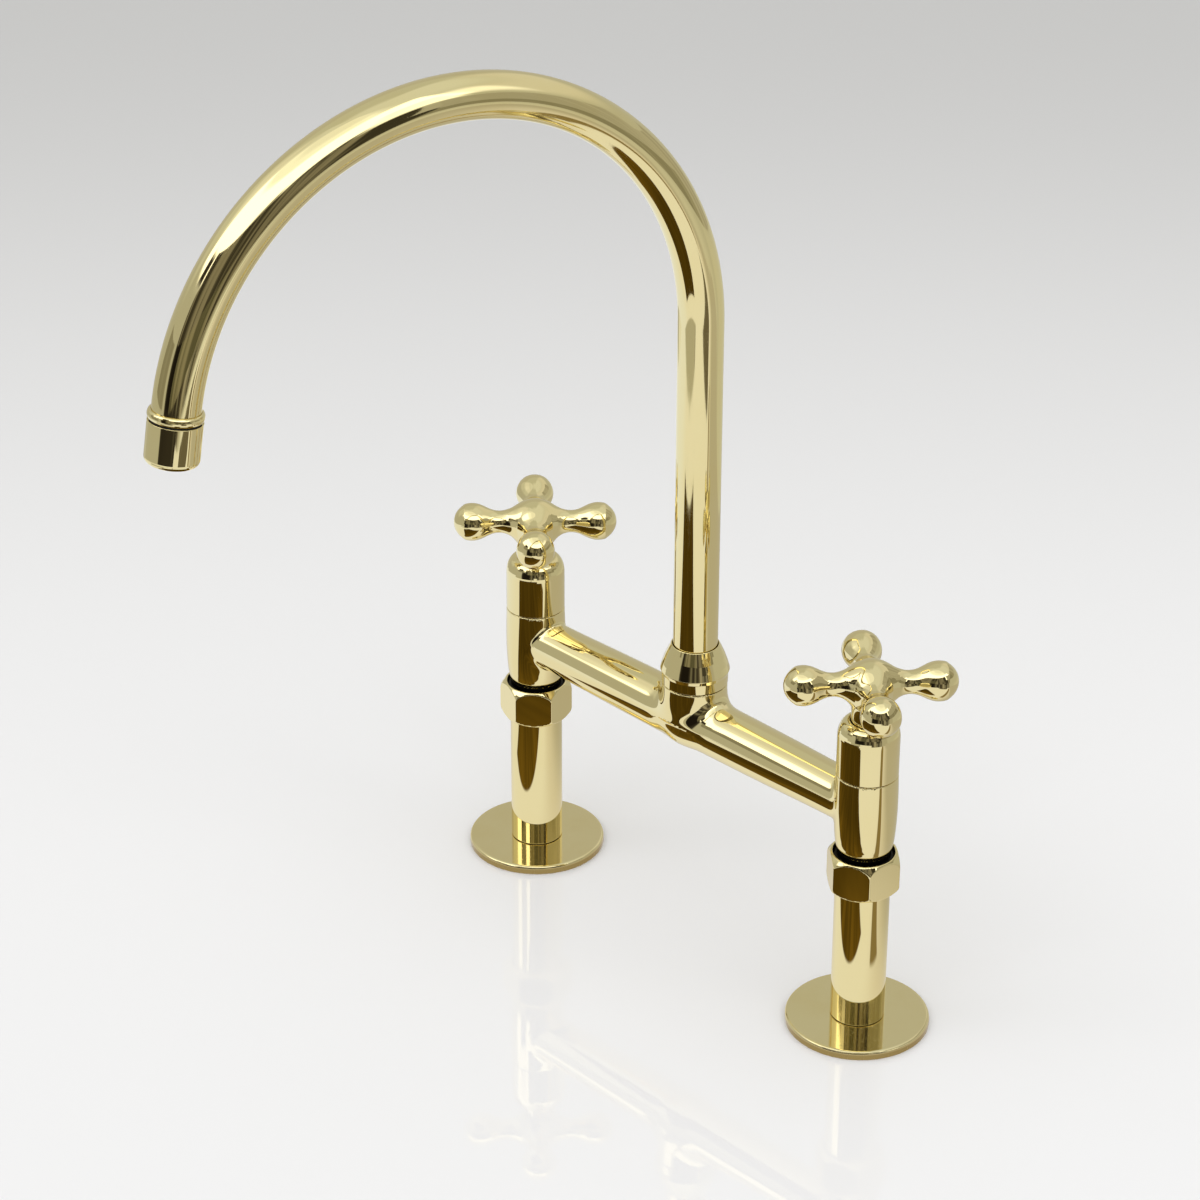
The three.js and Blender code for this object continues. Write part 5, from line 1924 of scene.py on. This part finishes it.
    def tabletop(self) -> None:
        """What the brass mirrors below it: the cloth, and a brown board in front."""
        piece = self.flat_sheet("tabletop", *self.table, -self.table_drop)
        shader, x, y = self.painted(piece)
        cloth = self.spread(shader, x, y)
        board = shader.mix(y.step(*self.board_fade), self.board_near, self.board_far)
        grain = shader.noise(scale=16.0, detail=4.0, stretch=(2.6, 0.35, 1.0)).step(0.3, 0.7)
        board = shader.mix(grain, board, shader.mix(self.board_grain_share, board, self.board_grain))
        left, right, front, back = self.board
        side, end = self.board_soft
        slanted = x - (y - back) * self.board_slant
        lying = slanted.step(left - side, left + side) * x.step(right + side, right - side)
        self.glowing(piece, shader, shader.mix(lying * y.window(front, back, end), cloth, board))

    def onlooker(self, part: Onlooker) -> None:
        """Makes one part of the dim shapes that stand round the faucet's front.

        A point is (radius cos t, radius sin t, height), for t and height on a grid.

        Args:
            part: where the part is, and its colours.
        """
        t = np.radians(np.linspace(*part.across, self.onlooker_steps + 1))
        columns = np.stack([np.cos(t), np.sin(t)], axis=-1) * self.onlooker_radius
        rows = [(x, y, z) for x, y in columns.tolist() for z in part.up]
        faces = [(i, i + 2, i + 3, i + 1) for i in range(0, 2 * self.onlooker_steps, 2)]
        piece = self.sheet("onlooker", rows, faces)
        shader = self.painted(piece)[0]
        folds = shader.noise(scale=11.0, detail=3.0, stretch=(1.0, 1.0, 0.12)).step(0.42, 0.6)
        self.glowing(piece, shader, shader.mix(folds, part.dark, part.light))

    def lamp(self) -> None:
        """A wide soft lamp overhead, which lights the floor and isn't mirrored."""
        data = bpy.data.lights.new("softbox", "AREA")
        data.shape, data.size, data.energy = "SQUARE", self.lamp_size * MM, self.lamp_power
        lamp = bpy.data.objects.new("softbox", data)
        lamp.location = Vector(self.lamp_place) * MM
        lamp.visible_glossy = lamp.visible_camera = False
        bpy.context.scene.collection.objects.link(lamp)

    def room(self) -> None:
        """The light by direction: walls, a ceiling, and the patches listed in ROOM over them."""
        world = bpy.data.worlds.new("studio")
        world.use_nodes = True
        bpy.context.scene.world = world
        shader = Shader(world.node_tree)
        x, y, z = shader.coordinates("Generated")
        across = y.math("ARCTAN2", y, x) * DEGREES
        up = z.math("ARCSINE", z) * DEGREES
        colour = shader.mix(up.step(*self.ceiling_fade), self.wall, self.ceiling)
        for glow in ROOM:
            mask = across.window(*glow.across, glow.soft) * up.window(*glow.up, glow.soft)
            colour = shader.mix(mask, colour, glow.colour)
        shader.show("ShaderNodeBackground", {"Color": colour, "Strength": 1.0}, "World")

    def build(self) -> None:
        """Makes the floor and all that the brass mirrors."""
        self.floor()
        self.tabletop()
        for part in ONLOOKERS:
            self.onlooker(part)
        self.lamp()
        self.room()


def main() -> None:
    """Builds the faucet, sub-assembly by sub-assembly, and then the studio."""
    logging.basicConfig(level=logging.INFO, format="%(name)s: %(message)s")
    bpy.context.scene.view_settings.view_transform = "Standard"
    Camera().build()
    Studio().build()
    Leg(Side.HOT, nut_turn=-47.7).build()
    Leg(Side.COLD, nut_turn=-7.8).build()
    Bridge().build()
    Valve(Side.HOT, turn=47.5).build()
    Valve(Side.COLD, turn=50.5).build()
    Spout().build()


if __name__ == "__main__":
    main()
